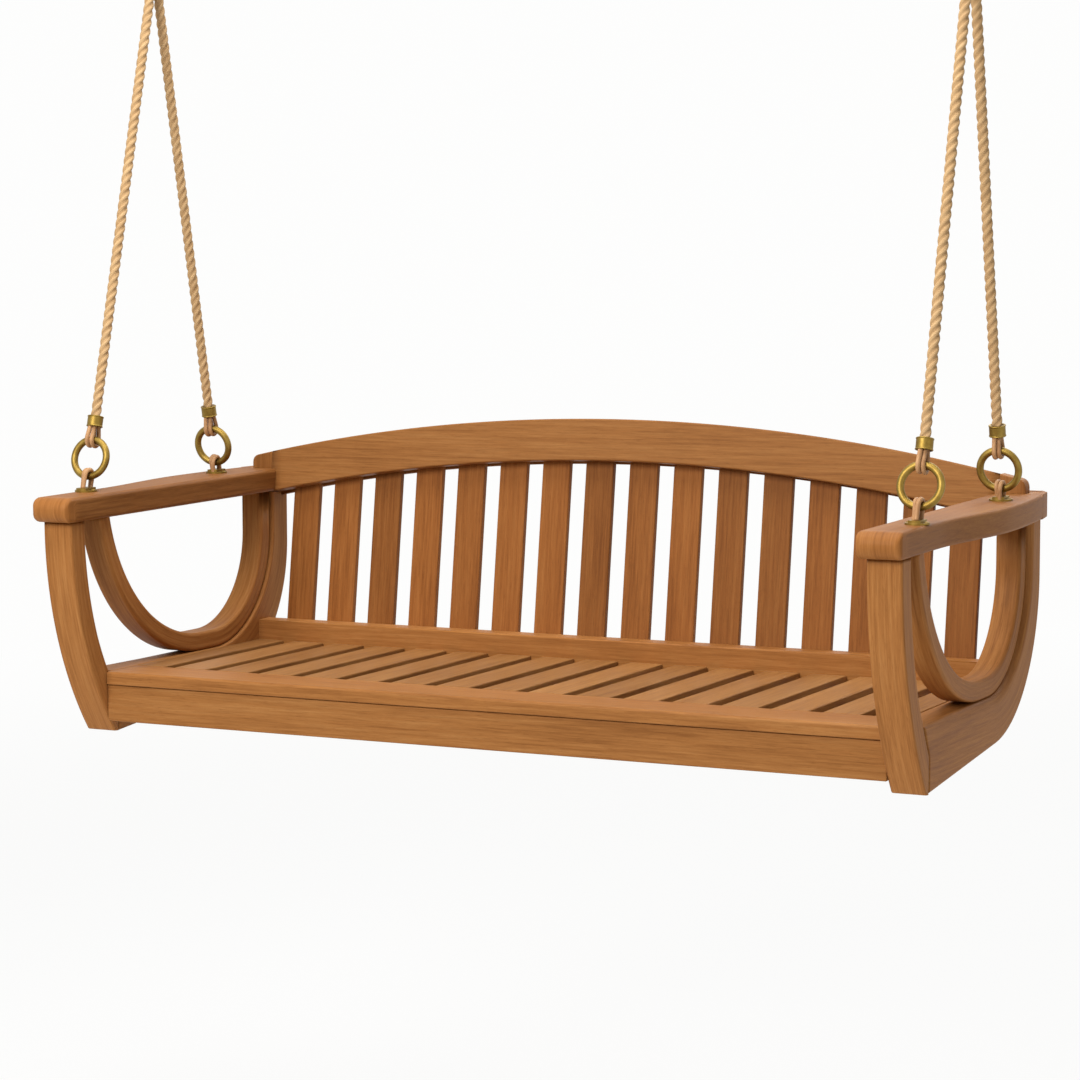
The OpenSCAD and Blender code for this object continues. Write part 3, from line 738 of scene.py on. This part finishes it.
# ---- Side frames
def leg_front_y(z):
    """Depth of the front leg's bowed front."""
    return LEG_CY - math.sqrt(LEG_R**2 - (z - LEG_UPRIGHT_Z) ** 2)


def leg_back_y(z):
    """Depth of its rear face, straight in the low part."""
    y = LEG_CY - math.sqrt((LEG_R - LEG_D) ** 2 - (z - LEG_UPRIGHT_Z) ** 2)
    return min(y, BOW_JOINT_Y)


def front_leg(side, name):
    """A bowed upright. Beside the bow its rear edges are sharp, so that the joint is tight."""
    piece = Piece("leg_" + name, WOOD, "teak")
    low = underside(BOW_JOINT_Y)
    stations = []
    for t in turns(0, 90, FOOT_STEPS)[:-1]:
        stations.append((low + FOOT_EDGE * (1 - math.cos(t)), FOOT_EDGE * (1 - math.sin(t))))
    corner_z = LEG_UPRIGHT_Z - math.sqrt((LEG_R - LEG_D) ** 2 - (LEG_CY - BOW_JOINT_Y) ** 2)
    top = arm_under(-LEG_FRONT) + INTO_ARM
    heights = span(low + FOOT_EDGE, top, SIDE_FRAME_STEPS) + [corner_z]
    stations += [(z, 0.0) for z in sorted(heights)]
    lines = []
    for z, inset in stations:
        free = min(1, max(0, z / FREE_Z))
        back = 2 * SEAM + (EDGE - 2 * SEAM) * free
        line = [(leg_front_y(z) + inset, z), (leg_back_y(z) - SEAM, z)]
        lines.append((line, (EDGE, EDGE, back, back)))
    side_member(piece, side, SIDE_IN, SIDE_OUT - SIDE_IN, lines, LEG_TONE)
    piece.done("bench", "front_leg_" + name)


def side_bow(side, name):
    """One bent piece. It starts along the leg's rear face, where its sections follow that
    curve, runs back as the rail, turns in the bend and goes up as the post."""
    piece = Piece("bow_" + name, WOOD, "teak")
    stations = []
    small = 2 * SEAM
    plain = (EDGE, RAIL_EDGE_R, EDGE, EDGE)
    samples = span(0, 1, JOINT_POINTS)
    edge_full = (EDGE + RAIL_EDGE_R) / 2
    for t in span(0, 1, JOINT_STEPS):
        low_y = BOW_JOINT_Y + (JOINT_END_Y - BOW_JOINT_Y) * t
        line = []
        for v in samples:
            z = underside(low_y) * v
            y = leg_back_y(z)
            line.append((y + (JOINT_END_Y - y) * t, z))
        stations.append((line, (small, EDGE + (edge_full - EDGE) * t, EDGE, small)))
    for y in span(JOINT_END_Y, BEND_Y, RAIL_STEPS)[1:]:
        t = min(1, (y - JOINT_END_Y) / JOINT_END_Y)
        top_edge = edge_full + (RAIL_EDGE_R - edge_full) * t
        stations.append(([(y, 0.0), (y, underside(y))], (EDGE, top_edge, EDGE, EDGE)))
    for t in turns(-90, 0, BEND_STEPS)[1:]:
        inner = (BEND_Y + BEND_R * math.cos(t), BEND_R + BEND_R * math.sin(t))
        outer = (BEND_Y + BOW_OUT_R * math.cos(t), BOW_CZ + BOW_OUT_R * math.sin(t))
        if outer[0] < SLOPE_Y:
            outer = (outer[0], underside(outer[0]))
        stations.append(([inner, outer], plain))
    under = arm_under(POST_Y)
    over = arm_top(POST_Y)
    bare = (EDGE, EDGE, EDGE, EDGE)
    for t in span(0, 1, JOINT_STEPS)[1:]:
        z_in = BEND_R + (under - BEND_R) * t
        z_out = BOW_CZ + (under - BOW_CZ) * t
        stations.append(([(POST_Y, z_in), (POST_Y + POST_D, z_out)], plain))
    for z in (under + POST_RISE, over):
        stations.append(([(POST_Y, z), (POST_Y + POST_D, z)], bare))
    width = SIDE_OUT - SIDE_IN - 2 * FACE_SET
    side_member(piece, side, SIDE_IN + FACE_SET, width, stations, BOW_TONE)
    post_top(piece, side, over)
    piece.done("bench", "side_bow_" + name)


def quarter(radius, reach):
    """How far a rounded corner has dropped at a reach into it."""
    return radius - math.sqrt(max(radius**2 - max(0.0, reach) ** 2, 0.0))


def post_top(piece, side, low):
    """The post above the armrest, narrower: its top carries on the arch of the top rail."""
    offset = shift()
    width = SIDE_OUT - SIDE_IN - HEAD_IN
    places = [0.0, HEAD_SEAM] + span(HEAD_SEAM_END, width - HEAD_ROUND, HEAD_STEPS)
    for t in turns(0, 90, HEAD_TURNS)[1:]:
        places.append(width - HEAD_ROUND * (1 - math.sin(t)))
    radii = (HEAD_INNER_EDGE, HEAD_INNER_EDGE, HEAD_EDGE / 2, HEAD_EDGE / 2)
    rings = []
    for u in places:
        inset = quarter(HEAD_EDGE, u - width + HEAD_EDGE) + (HEAD_SEAM if u == 0 else 0)
        top = arch_z(SIDE_IN + u) - quarter(HEAD_ROUND, u - width + HEAD_ROUND)
        ring = []
        for v, w in rounded(HEAD_D - 2 * inset, top - inset - low, radii):
            point = HUNG @ Vector((side * (SIDE_IN + u), POST_Y + inset + v, low + w))
            ring.append((point, offset + Vector((w, v, u))))
        rings.append(ring)
    piece.loft(rings, HEAD_TONE)


def arm_hoop(side, name):
    """A bent strip that hangs from the armrest: a wide front curve and a tighter rear one,
    which ends in a short upright."""
    piece = Piece("hoop_" + name, WOOD, "teak")
    drop = HOOP_FRONT_R - arm_under(0) - HOOP_START_IN
    start = 180 + math.degrees(math.asin(drop / HOOP_FRONT_R))
    radii = (HOOP_EDGE,) * 4
    stations = []
    for cy, r, a0, a1 in (
        (HOOP_FLAT_Y, HOOP_FRONT_R, start, 270),
        (BEND_Y, HOOP_REAR_R, 270, 360),
    ):
        for t in turns(a0, a1, SIDE_FRAME_STEPS):
            line = []
            for reach in (r - HOOP_T, r):
                line.append((cy + reach * math.cos(t), r + reach * math.sin(t)))
            stations.append((line, radii))
    y = BEND_Y + HOOP_REAR_R
    z = arm_under(y) + INTO_ARM
    stations.append(([(y - HOOP_T, z), (y, z)], radii))
    side_member(piece, side, SIDE_IN + HOOP_SET, HOOP_W, stations, HOOP_TONE)
    piece.done("bench", "arm_hoop_" + name)


# ---- Armrests
def armrest(side, name):
    """Cross-sections from the round nose back. At the post only the outer part runs on,
    and behind it the armrest is wide again."""
    # its wood is darker partly as painted shade on the armrest's inner sides
    piece = Piece("armrest_" + name, ARM_WOOD_AND_SHADE, "teak")
    offset = shift()
    nose = ARM_T / 2
    lean = Matrix.Rotation(math.radians(ARM_SLOPE), 4, "X")
    place = HUNG @ Matrix.Translation((0, -ARM_FRONT, ARM_H)) @ lean
    end = ARM_FRONT + POST_Y
    behind = end + POST_D
    tip = end + EAR_LEN
    rings = []
    tones = []

    def section(s, x0, x1, z_in=0.0, radius=ARM_EDGE):
        ring = []
        for u, v in rounded(x1 - x0, ARM_T - 2 * z_in, (radius,) * 4):
            x = x0 + u
            z = z_in + v
            grain = Vector((s, x, z))
            if s < nose:
                # the grain runs on round the nose
                turn = math.atan2(z - nose, nose - s)
                grain = Vector((nose - nose * (math.pi / 2 - turn), x, ARM_T))
            ring.append((place @ Vector((side * x, s, z)), offset + grain))
        rings.append(ring)
        tones.append(NOSE_TONE * (1 - smooth(s / NOSE_FADE)))

    def edges(s):
        return arm_edges(s - ARM_FRONT)

    for t in turns(NOSE_FIRST, 90, NOSE_STEPS):
        s = nose * (1 - math.cos(t))
        half = nose * math.sin(t)
        corner = max(ARM_CORNER_R - s, 0)
        inset = ARM_CORNER_R - math.sqrt(max(ARM_CORNER_R**2 - corner**2, 0))
        x0, x1 = edges(s)
        section(s, x0 + inset, x1 - inset, nose - half, min(ARM_EDGE, half * NOSE_EDGE))
    for s in span(nose, end - ARM_EDGE, ARM_STEPS)[1:]:
        section(s, *edges(s))
    for t in turns(0, 90, CORNER_STEPS)[1:]:
        s = end - ARM_EDGE * (1 - math.sin(t))
        x0, x1 = edges(s)
        section(s, x0 + ARM_EDGE * (1 - math.cos(t)), x1)
    for s in span(end, behind, WRAP_STEPS):
        section(s, SIDE_OUT, edges(s)[1], radius=WRAP_EDGE if s > end else ARM_EDGE)
    x0 = SIDE_IN + WRAP_IN
    section(behind, x0, edges(behind)[1])
    last = edges(tip)[1]
    for t in turns(0, 90, EAR_STEPS):
        s = tip - ARM_CORNER_R * (1 - math.sin(t))
        cut = ARM_CORNER_R * (1 - math.cos(t))
        over = max(0, 1 - (tip - s) / END_EDGE)
        soft = END_EDGE * (1 - math.sqrt(1 - over * over))
        section(s, x0 + soft, last - cut, soft)
    piece.loft(rings, ARM_TONE + chance.uniform(-ARM_VARY, ARM_VARY), tones=tones)
    piece.done("bench", "armrest_" + name)


# ---- Seat
def one_board(name, node, low, high, radius, material=WOOD, radii=None, tone=0.0):
    """A board along the bench that is a piece by itself."""
    piece = Piece(name, material, "teak")
    board(piece, low, high, "x", radius, radii=radii, tone=tone)
    piece.done("bench", node)


def seat():
    """Front board, apron, the rails below, and the slats between two wider end boards."""
    one_board(
        "front_board",
        "seat_front_board",
        (-SIDE_IN, 0, -SEAT_T),
        (SIDE_IN, FRONT_BOARD_D - FRONT_BOARD_GAP, 0),
        SMALL_EDGE,
        radii=(SMALL_EDGE, SMALL_EDGE, SMALL_EDGE, FRONT_TOP_EDGE),
        tone=LIGHT_TONE,
    )
    one_board(
        "apron",
        "front_apron",
        (-SIDE_IN, APRON_SET, -SEAT_T - APRON_H),
        (SIDE_IN, APRON_SET + APRON_T, -SEAT_T - APRON_GAP),
        SMALL_EDGE,
    )
    for node, y in SEAT_RAILS.items():
        low = (-SIDE_IN, y, -SEAT_T - SEAT_RAIL_H)
        high = (SIDE_IN, y + SEAT_RAIL_W, -SEAT_T - SEAT_RAIL_GAP)
        name = node.replace("seat_", "under_")
        one_board(name, node, low, high, UNDER_EDGE, HIDDEN_WOOD)
    slats = Piece("seat_boards", SEAT_SHEEN_WOOD, "teak")
    pitch = (2 * SIDE_IN - 2 * SEAT_END_W - SEAT_SLOT) / SEAT_SLATS
    for i in range(SEAT_SLATS):
        x = -SIDE_IN + SEAT_END_W + SEAT_SLOT + i * pitch
        low = (x, FRONT_BOARD_D, -SEAT_T)
        high = (x + pitch - SEAT_SLOT, BACK_Y, 0)
        board(slats, low, high, "y", SMALL_EDGE, vary=SEAT_VARY)
    slats.done("bench", "seat_slats")
    ends = Piece("seat_ends", SEAT_SHEEN_WOOD, "teak")
    for x in (-SIDE_IN, SIDE_IN - SEAT_END_W):
        low = (x, FRONT_BOARD_D, -SEAT_T)
        board(ends, low, (x + SEAT_END_W, BACK_Y, 0), "y", SMALL_EDGE)
    ends.done("bench", "seat_end_boards")


# ---- Back
def arch_band(name, node, y0, thick, drop, height, edge, material, tone):
    """An arched band across the back. It starts a drop below the back's arched top."""
    piece = Piece(name, material, "teak")
    offset = shift()
    rings = []
    high_r = ARCH_R - drop
    for x in span(-SIDE_IN, SIDE_IN, ARCH_STEPS):
        top = leaned_arch(high_r, x)
        low = leaned_arch(high_r - height, x)
        ring = []
        for u, v in rounded(thick, top - low, (edge,) * 4):
            point = HUNG @ LEANED @ Vector((x, y0 + u, low + v))
            ring.append((point, offset + Vector((x, low + v, u))))
        rings.append(ring)
    piece.loft(rings, tone)
    piece.done("bench", node)


def bottom_rail():
    """The rail on the seat's rear edge: upright in front, leaning behind."""
    piece = Piece("low_rail", WOOD, "teak")
    foot = BACK_Y + LOW_RAIL_D - (LOW_RAIL_TOP + SEAT_T) * math.tan(math.radians(BACK_LEAN))
    offset = shift()
    r = LOW_RAIL_EDGE
    outline = [
        (BACK_Y, -SEAT_T),
        (foot - LOW_RAIL_CUT, -SEAT_T),
        (BACK_Y + LOW_RAIL_D, LOW_RAIL_TOP - r),
        (BACK_Y + LOW_RAIL_D - r, LOW_RAIL_TOP),
    ]
    for t in turns(90, 180, RAIL_ROUND_STEPS):
        outline.append((BACK_Y + r + r * math.cos(t), LOW_RAIL_TOP - r + r * math.sin(t)))
    rings = []
    for x in span(-SIDE_IN, SIDE_IN, 2):
        points = [Vector((x, y, z)) for y, z in outline]
        rings.append([(HUNG @ p, offset + p) for p in points])
    piece.loft(rings, LIGHT_TONE)
    piece.done("bench", "back_bottom_rail")


def back():
    """Bottom rail, arched top rail, the cap strip behind it and the upright slats."""
    bottom_rail()
    rail = ("top_rail", "back_top_rail", -TOP_RAIL_T, TOP_RAIL_T, 0, TOP_RAIL_H)
    arch_band(*rail, TOP_RAIL_EDGE, WOOD, TOP_RAIL_TONE)
    drop = TOP_RAIL_H + CAP_DROP - CAP_H
    strip = ("cap_strip", "back_cap_strip", BACK_SLAT_T, CAP_T, drop, CAP_H)
    arch_band(*strip, CAP_EDGE, HIDDEN_WOOD, 0.0)
    pitch = (2 * SIDE_IN - 2 * BACK_END_GAP - BACK_SLAT_W) / (BACK_SLATS - 1)
    for i in range(BACK_SLATS):
        x = -SIDE_IN + BACK_END_GAP + i * pitch
        top = leaned_arch(ARCH_R - TOP_RAIL_H, x + BACK_SLAT_W / 2) + SLAT_LAP
        piece = Piece("upright_%02d" % (i + 1), BACK_WOOD, "teak")
        low = (x, BACK_SLAT_SET, -SLAT_LAP)
        high = (x + BACK_SLAT_W, BACK_SLAT_T, top)
        board(piece, low, high, "z", SMALL_EDGE, HUNG @ LEANED)
        piece.done("bench", "back_slat_%02d" % (i + 1))


# ---- Tubes
def tube_frames(points):
    """Two steady directions across a smooth run of points, at each of them."""
    frames = []
    across = None
    for i in range(len(points)):
        ahead = points[min(i + 1, len(points) - 1)] - points[max(i - 1, 0)]
        ahead.normalize()
        if across is None:
            across = ahead.orthogonal().normalized()
        across = (across - ahead * across.dot(ahead)).normalized()
        frames.append((across, ahead.cross(across)))
    return frames


def tube(piece, points, radius):
    """A round strand along a run of points."""
    offset = shift()
    rings = []
    run = 0.0
    for i, (p, (a, b)) in enumerate(zip(points, tube_frames(points))):
        run += (p - points[i - 1]).length if i else 0.0
        ring = []
        for t in circle(TUBE_SIDES):
            grain = offset + Vector((run, math.cos(t) * radius, math.sin(t) * radius))
            ring.append((p + (a * math.cos(t) + b * math.sin(t)) * radius, grain))
        rings.append(ring)
    piece.loft(rings)


def ring_of(piece, centre, normal, radius, bar):
    """A closed ring of round bar about a normal. Metal has no grain."""
    a = normal.orthogonal().normalized()
    b = normal.cross(a).normalized()
    rings = []
    for turn in circle(RING_STEPS):
        out = a * math.cos(turn) + b * math.sin(turn)
        ring = []
        for t in circle(RING_SIDES):
            point = centre + out * (radius + bar * math.cos(t)) + normal * (bar * math.sin(t))
            ring.append((point, Vector((0, 0, 0))))
        rings.append(ring)
    piece.loft(rings, closed=True)


# ---- Ropes
def rope_lean(route):
    """How far a rope leans back, in radians."""
    (y0, z0), (y1, z1) = route
    return math.atan2(y1 - y0, z1 - z0)


def ring_y(route):
    """Depth of the ring's centre, which is on the rope's own line."""
    return route[0][0] - (route[0][1] - RING_Z) * math.tan(rope_lean(route))


def on_rope(route, side):
    """Frame at the centre of the ring, with Z up along the rope."""
    centre = Matrix.Translation((side * ROPE_X, ring_y(route), RING_Z))
    return HUNG @ centre @ Matrix.Rotation(-rope_lean(route), 4, "X")


def strand_outline():
    """One cross-section of three laid strands: radius and groove at each angle."""
    outer = ROPE_D / 2
    strand = outer * LAID_STRAND
    middle = outer - strand
    floor = outer * GROOVE_FLOOR
    third = 2 * math.pi / 3
    out = []
    for t in circle(ROPE_SIDES):
        local = (t + third / 2) % third - third / 2
        across = middle * math.sin(local)
        reach = middle * math.cos(local) + math.sqrt(max(strand**2 - across**2, 0))
        r = max(reach, floor)
        groove = min(1, (outer - r) / (outer - floor))
        out.append((t, r, groove**2))
    return out


def rope(name, node, body, route, side):
    """A three-strand rope: its strands wind about the straight middle line."""
    piece = Piece(name, ROPE, "rope_fibre")
    ends = [HUNG @ Vector((side * ROPE_X, y, z)) for y, z in route]
    way = ends[1] - ends[0]
    length = way.length
    ahead = way.normalized()
    a = Vector((1, 0, 0))
    b = ahead.cross(a)
    outline = strand_outline()
    steps = round(length / ROPE_STEP)
    rings = []
    offset = shift()
    for s in span(0, length, steps):
        turn = 2 * math.pi * s / ROPE_LAY
        ring = []
        for t, r, _ in outline:
            d = a * math.cos(t + turn) + b * math.sin(t + turn)
            grain = offset + Vector((s, math.cos(t) * r, math.sin(t) * r))
            ring.append((ends[0] + ahead * s + d * r, grain))
        rings.append(ring)
    piece.loft(rings, grooves=[groove for _, _, groove in outline])
    made = piece.done(body, node)


def loop_points(radius, tilt, leg, place, x):
    """Middle line of one strand that goes round a bar along X and up on both sides. The
    strand on the other side of x turns with it a little, as two laid strands do."""
    points = []
    start = math.radians(180 - tilt)
    foot = Vector((radius * math.cos(start), radius * math.sin(start)))
    up = Vector((math.sin(math.radians(tilt)), math.cos(math.radians(tilt))))
    for t in span(leg, 0, LOOP_LEG_STEPS)[:-1]:
        points.append((foot + up * t, start))
    for t in turns(180 - tilt, 360 + tilt, LOOP_BEND_STEPS):
        points.append((Vector((radius * math.cos(t), radius * math.sin(t))), t))
    end = 2 * math.pi + math.radians(tilt)
    for t in span(0, leg, LOOP_LEG_STEPS)[1:]:
        low = Vector((-foot[0], foot[1]))
        points.append((low + Vector((-up[0], up[1])) * t, end))
    out = []
    for i, (p, t) in enumerate(points):
        turn = math.radians(LOOP_TURN) * (2 * smooth(i / (len(points) - 1)) - 1)
        p += Vector((math.cos(t), math.sin(t))) * x * math.sin(turn)
        out.append(place @ Vector((x * math.cos(turn), p[0], p[1])))
    return out


def turned(piece, place, outline):
    """A ring-shaped part: a closed outline of (radius, height) about the axis."""
    rings = []
    for t in circle(TURNED_SIDES):
        points = [Vector((r * math.cos(t), r * math.sin(t), z)) for r, z in outline]
        rings.append([(place @ p, place @ p) for p in points])
    piece.loft(rings, closed=True)


def ferrule_outline():
    """A short tube with a rolled rim at both ends, open for the strands and the rope."""
    rim = FERRULE_RIM
    body = FERRULE_R - FERRULE_WAIST
    bore = FERRULE_R - FERRULE_WALL
    hole = ROPE_D / 2 + ROPE_PLAY
    outline = [(bore, 0.0)]
    for centre in (rim, FERRULE_LEN - rim):
        for t in turns(-RIM_TURN, RIM_TURN, RIM_STEPS):
            r = FERRULE_R - rim + rim * math.cos(t)
            outline.append((r, centre + rim * math.sin(t)))
        if centre == rim:
            outline.append((body, RIM_BENDS * rim))
            outline.append((body, FERRULE_LEN - RIM_BENDS * rim))
    outline += [(hole, FERRULE_LEN), (hole, FERRULE_LEN - FERRULE_GRIP), (bore, EYE_GRIP)]
    return outline


def lower_fittings(side, name):
    """Loops, rings, eyes and ferrules between an armrest and its two ropes. An eye's legs
    lean together into the ferrule, and a loop's go down into the saddle."""
    ferrules = Piece("ferrule_pair_" + name, BRASS, "aged_brass")
    eyes = Piece("eyes_" + name, HIDE, "tan_leather")
    loops = Piece("loops_" + name, HIDE, "tan_leather")
    eye_r = RING_BAR_R + RING_CLEAR + STRAND_R
    bar = STRAND_R - STRAND_PLAY
    body = name + "_ropes"
    for route, end in ((FRONT_ROPE, "front"), (REAR_ROPE, "rear")):
        place = on_rope(route, side)
        upper = place @ Matrix.Translation((0, 0, RING_R))
        lower = place @ Matrix.Translation((0, 0, -RING_R)) @ Matrix.Rotation(math.pi, 4, "X")
        reach = (route[0][1] - RING_Z) / math.cos(rope_lean(route))
        ferrule_low = reach + FERRULE_GRIP - FERRULE_LEN
        ring = Piece("ring_%s_%s_fine" % (end, name), BRASS, "aged_brass")
        normal = place.to_3x3() @ Vector((0, 1, 0))
        ring_of(ring, place @ Vector((0, 0, 0)), normal, RING_R, RING_BAR_R)
        ring.done(body, "ring_%s_%s" % (end, name))
        turned(ferrules, place @ Matrix.Translation((0, 0, ferrule_low)), ferrule_outline())
        rise = ferrule_low + EYE_GRIP - RING_R
        leg = rise / math.cos(math.radians(EYE_LEAN)) - EYE_SHORT
        saddle = arm_top(ring_y(route)) + PLATE_T + SADDLE_H
        drop = (RING_Z - saddle) / math.cos(rope_lean(route)) - RING_R + LOOP_IN
        for x in (-STRAND_R, STRAND_R):
            tube(eyes, loop_points(eye_r, EYE_LEAN, leg, upper, x), bar)
            tube(loops, loop_points(eye_r, 0, drop, lower, x), bar)
    ferrules.done(body, "ferrules_" + name)
    eyes.done(body, "rope_eyes_" + name)
    loops.done("bench", "arm_loops_" + name)


# ---- Metal from the model
def dressed(node, body, material, edge):
    """The construction model's own form with eased edges."""
    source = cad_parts[node]
    mesh = bmesh.new()
    mesh.from_mesh(source.data)
    bmesh.ops.remove_doubles(mesh, verts=mesh.verts, dist=WELD)
    bmesh.ops.dissolve_limit(
        mesh, angle_limit=math.radians(FLAT_ANGLE), verts=mesh.verts, edges=mesh.edges
    )
    grain = mesh.verts.layers.float_vector.new("grain")
    for v in mesh.verts:
        v[grain] = v.co
    for face in mesh.faces:
        face.smooth = True
    data = bpy.data.meshes.new(node + "_fine")
    mesh.to_mesh(data)
    mesh.free()
    data.materials.append(material)
    piece = in_scene(node + "_fine", data)
    bevel = piece.modifiers.new("edge", "BEVEL")
    bevel.width = edge
    bevel.segments = BEVEL_STEPS
    bevel.limit_method = "ANGLE"
    bevel.angle_limit = math.radians(SHARP_ANGLE)
    piece.modifiers.new("weigh", "WEIGHTED_NORMAL")
    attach(piece, body)
    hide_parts(node)


def metalwork():
    """Plates, screws, hooks, clamps and top rings, and the eyes that hang in the rings."""
    dressed("arm_plates", "bench", BRASS, PLATE_EDGE)
    dressed("plate_screws", "bench", BRASS, SCREW_EDGE)
    dressed("ceiling_plates", "ceiling_mounts", BRASS, CEILING_EDGE)
    dressed("ceiling_hooks", "ceiling_mounts", BRASS, PLATE_EDGE)
    for name in ("left", "right"):
        body = name + "_ropes"
        dressed("rope_clamp_" + name, body, BRASS, CLAMP_EDGE)
        dressed("top_eye_" + name, body, HIDE, EYE_EDGE)
        dressed("top_ring_" + name, name + "_hanger", BRASS, SCREW_EDGE)


def dowels():
    """Dowels are hidden in their holes, and only get their wood."""
    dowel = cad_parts["frame_dowels"]
    dowel.data.materials.clear()
    dowel.data.materials.append(HIDDEN_WOOD)


# ---- Studio
def floor():
    """A pale floor with the bench's soft shadow. Further out it shows as white."""
    z = -CEILING_H - FLOOR_BELOW_SEAT
    data = bpy.data.meshes.new("floor")
    r = FLOOR_REACH
    corners = [(-r, -r, z), (r, -r, z), (r, r, z), (-r, r, z)]
    data.from_pydata(corners, [], [(0, 1, 2, 3)])
    m = Nodes("floor_paint")
    m.shader.inputs["Base Color"].default_value = FLOOR_COLOUR
    m.shader.inputs["Roughness"].default_value = FLOOR_ROUGH
    m.shader.inputs["Specular IOR Level"].default_value = FLOOR_SHINE
    path = m.add("ShaderNodeLightPath")
    seen = m.math("ADD", path.outputs["Is Camera Ray"], path.outputs["Is Glossy Ray"])
    seen = m.math("MINIMUM", m.math("ADD", seen, path.outputs["Is Transmission Ray"]), 1.0)
    glow = m.add("ShaderNodeEmission", {"Color": PALE})
    mix = m.add("ShaderNodeMixShader")
    place = m.add("ShaderNodeTexCoord").outputs["Object"]
    away = m.add("ShaderNodeVectorMath", operation="LENGTH")
    m.link(m.scaled(place, (1, 1, 0)), away.inputs[0])
    levels = {"From Min": SHADOW_NEAR, "From Max": SHADOW_FAR, "To Min": FLOOR_GLOW}
    fade = m.add("ShaderNodeMapRange", levels, interpolation_type="SMOOTHSTEP")
    m.link(away.outputs["Value"], fade.inputs["Value"])
    m.link(m.math("MULTIPLY", seen, fade.outputs[0]), mix.inputs[0])
    m.link(m.shader.outputs[0], mix.inputs[1])
    m.link(glow.outputs[0], mix.inputs[2])
    # from below the floor is clear, so that the underside of the bench can be looked at
    clear = m.add("ShaderNodeBsdfTransparent")
    one_sided = m.add("ShaderNodeMixShader")
    m.link(m.add("ShaderNodeNewGeometry").outputs["Backfacing"], one_sided.inputs[0])
    m.link(mix.outputs[0], one_sided.inputs[1])
    m.link(clear.outputs[0], one_sided.inputs[2])
    out = m.tree.nodes["Material Output"]
    m.link(one_sided.outputs[0], out.inputs["Surface"])
    data.materials.append(m.material)
    in_scene("floor", data)


def lamp(name, place, size, power, colour):
    """A round soft lamp that points at the bench."""
    data = bpy.data.lights.new(name, "AREA")
    data.shape = "DISK"
    data.size = size
    data.energy = power
    data.color = colour
    made = in_scene(name, data)
    made.location = place
    aim = Vector(LAMP_AIM) - Vector(place)
    made.rotation_euler = aim.to_track_quat("-Z", "Y").to_euler()


def light():
    """A pale world that is dim as a light, and the lamps."""
    world = bpy.data.worlds.new("studio")
    bpy.context.scene.world = world
    world.use_nodes = True
    tree = world.node_tree
    background = tree.nodes["Background"]
    background.inputs["Color"].default_value = PALE
    path = tree.nodes.new("ShaderNodeLightPath")
    seen = tree.nodes.new("ShaderNodeMath")
    seen.operation = "MAXIMUM"
    tree.links.new(path.outputs["Is Camera Ray"], seen.inputs[0])
    tree.links.new(path.outputs["Is Glossy Ray"], seen.inputs[1])
    level = tree.nodes.new("ShaderNodeMapRange")
    level.inputs["To Min"].default_value = WORLD_LEVEL
    level.inputs["To Max"].default_value = 1.0
    tree.links.new(seen.outputs[0], level.inputs["Value"])
    tree.links.new(level.outputs[0], background.inputs["Strength"])
    for name, settings in LAMPS.items():
        lamp(name, *settings)


def main():
    """Everything, in an order that the draws of chance depend on."""
    make_camera()
    for side, name in ((-1, "left"), (1, "right")):
        body = name + "_ropes"
        rope("rope_f_" + name, "rope_front_" + name, body, FRONT_ROPE, side)
        rope("rope_r_" + name, "rope_rear_" + name, body, REAR_ROPE, side)
        front_leg(side, name)
        side_bow(side, name)
        arm_hoop(side, name)
        armrest(side, name)
        lower_fittings(side, name)
    seat()
    back()
    metalwork()
    dowels()
    floor()
    light()
    bpy.context.scene.view_settings.view_transform = "Standard"


main()
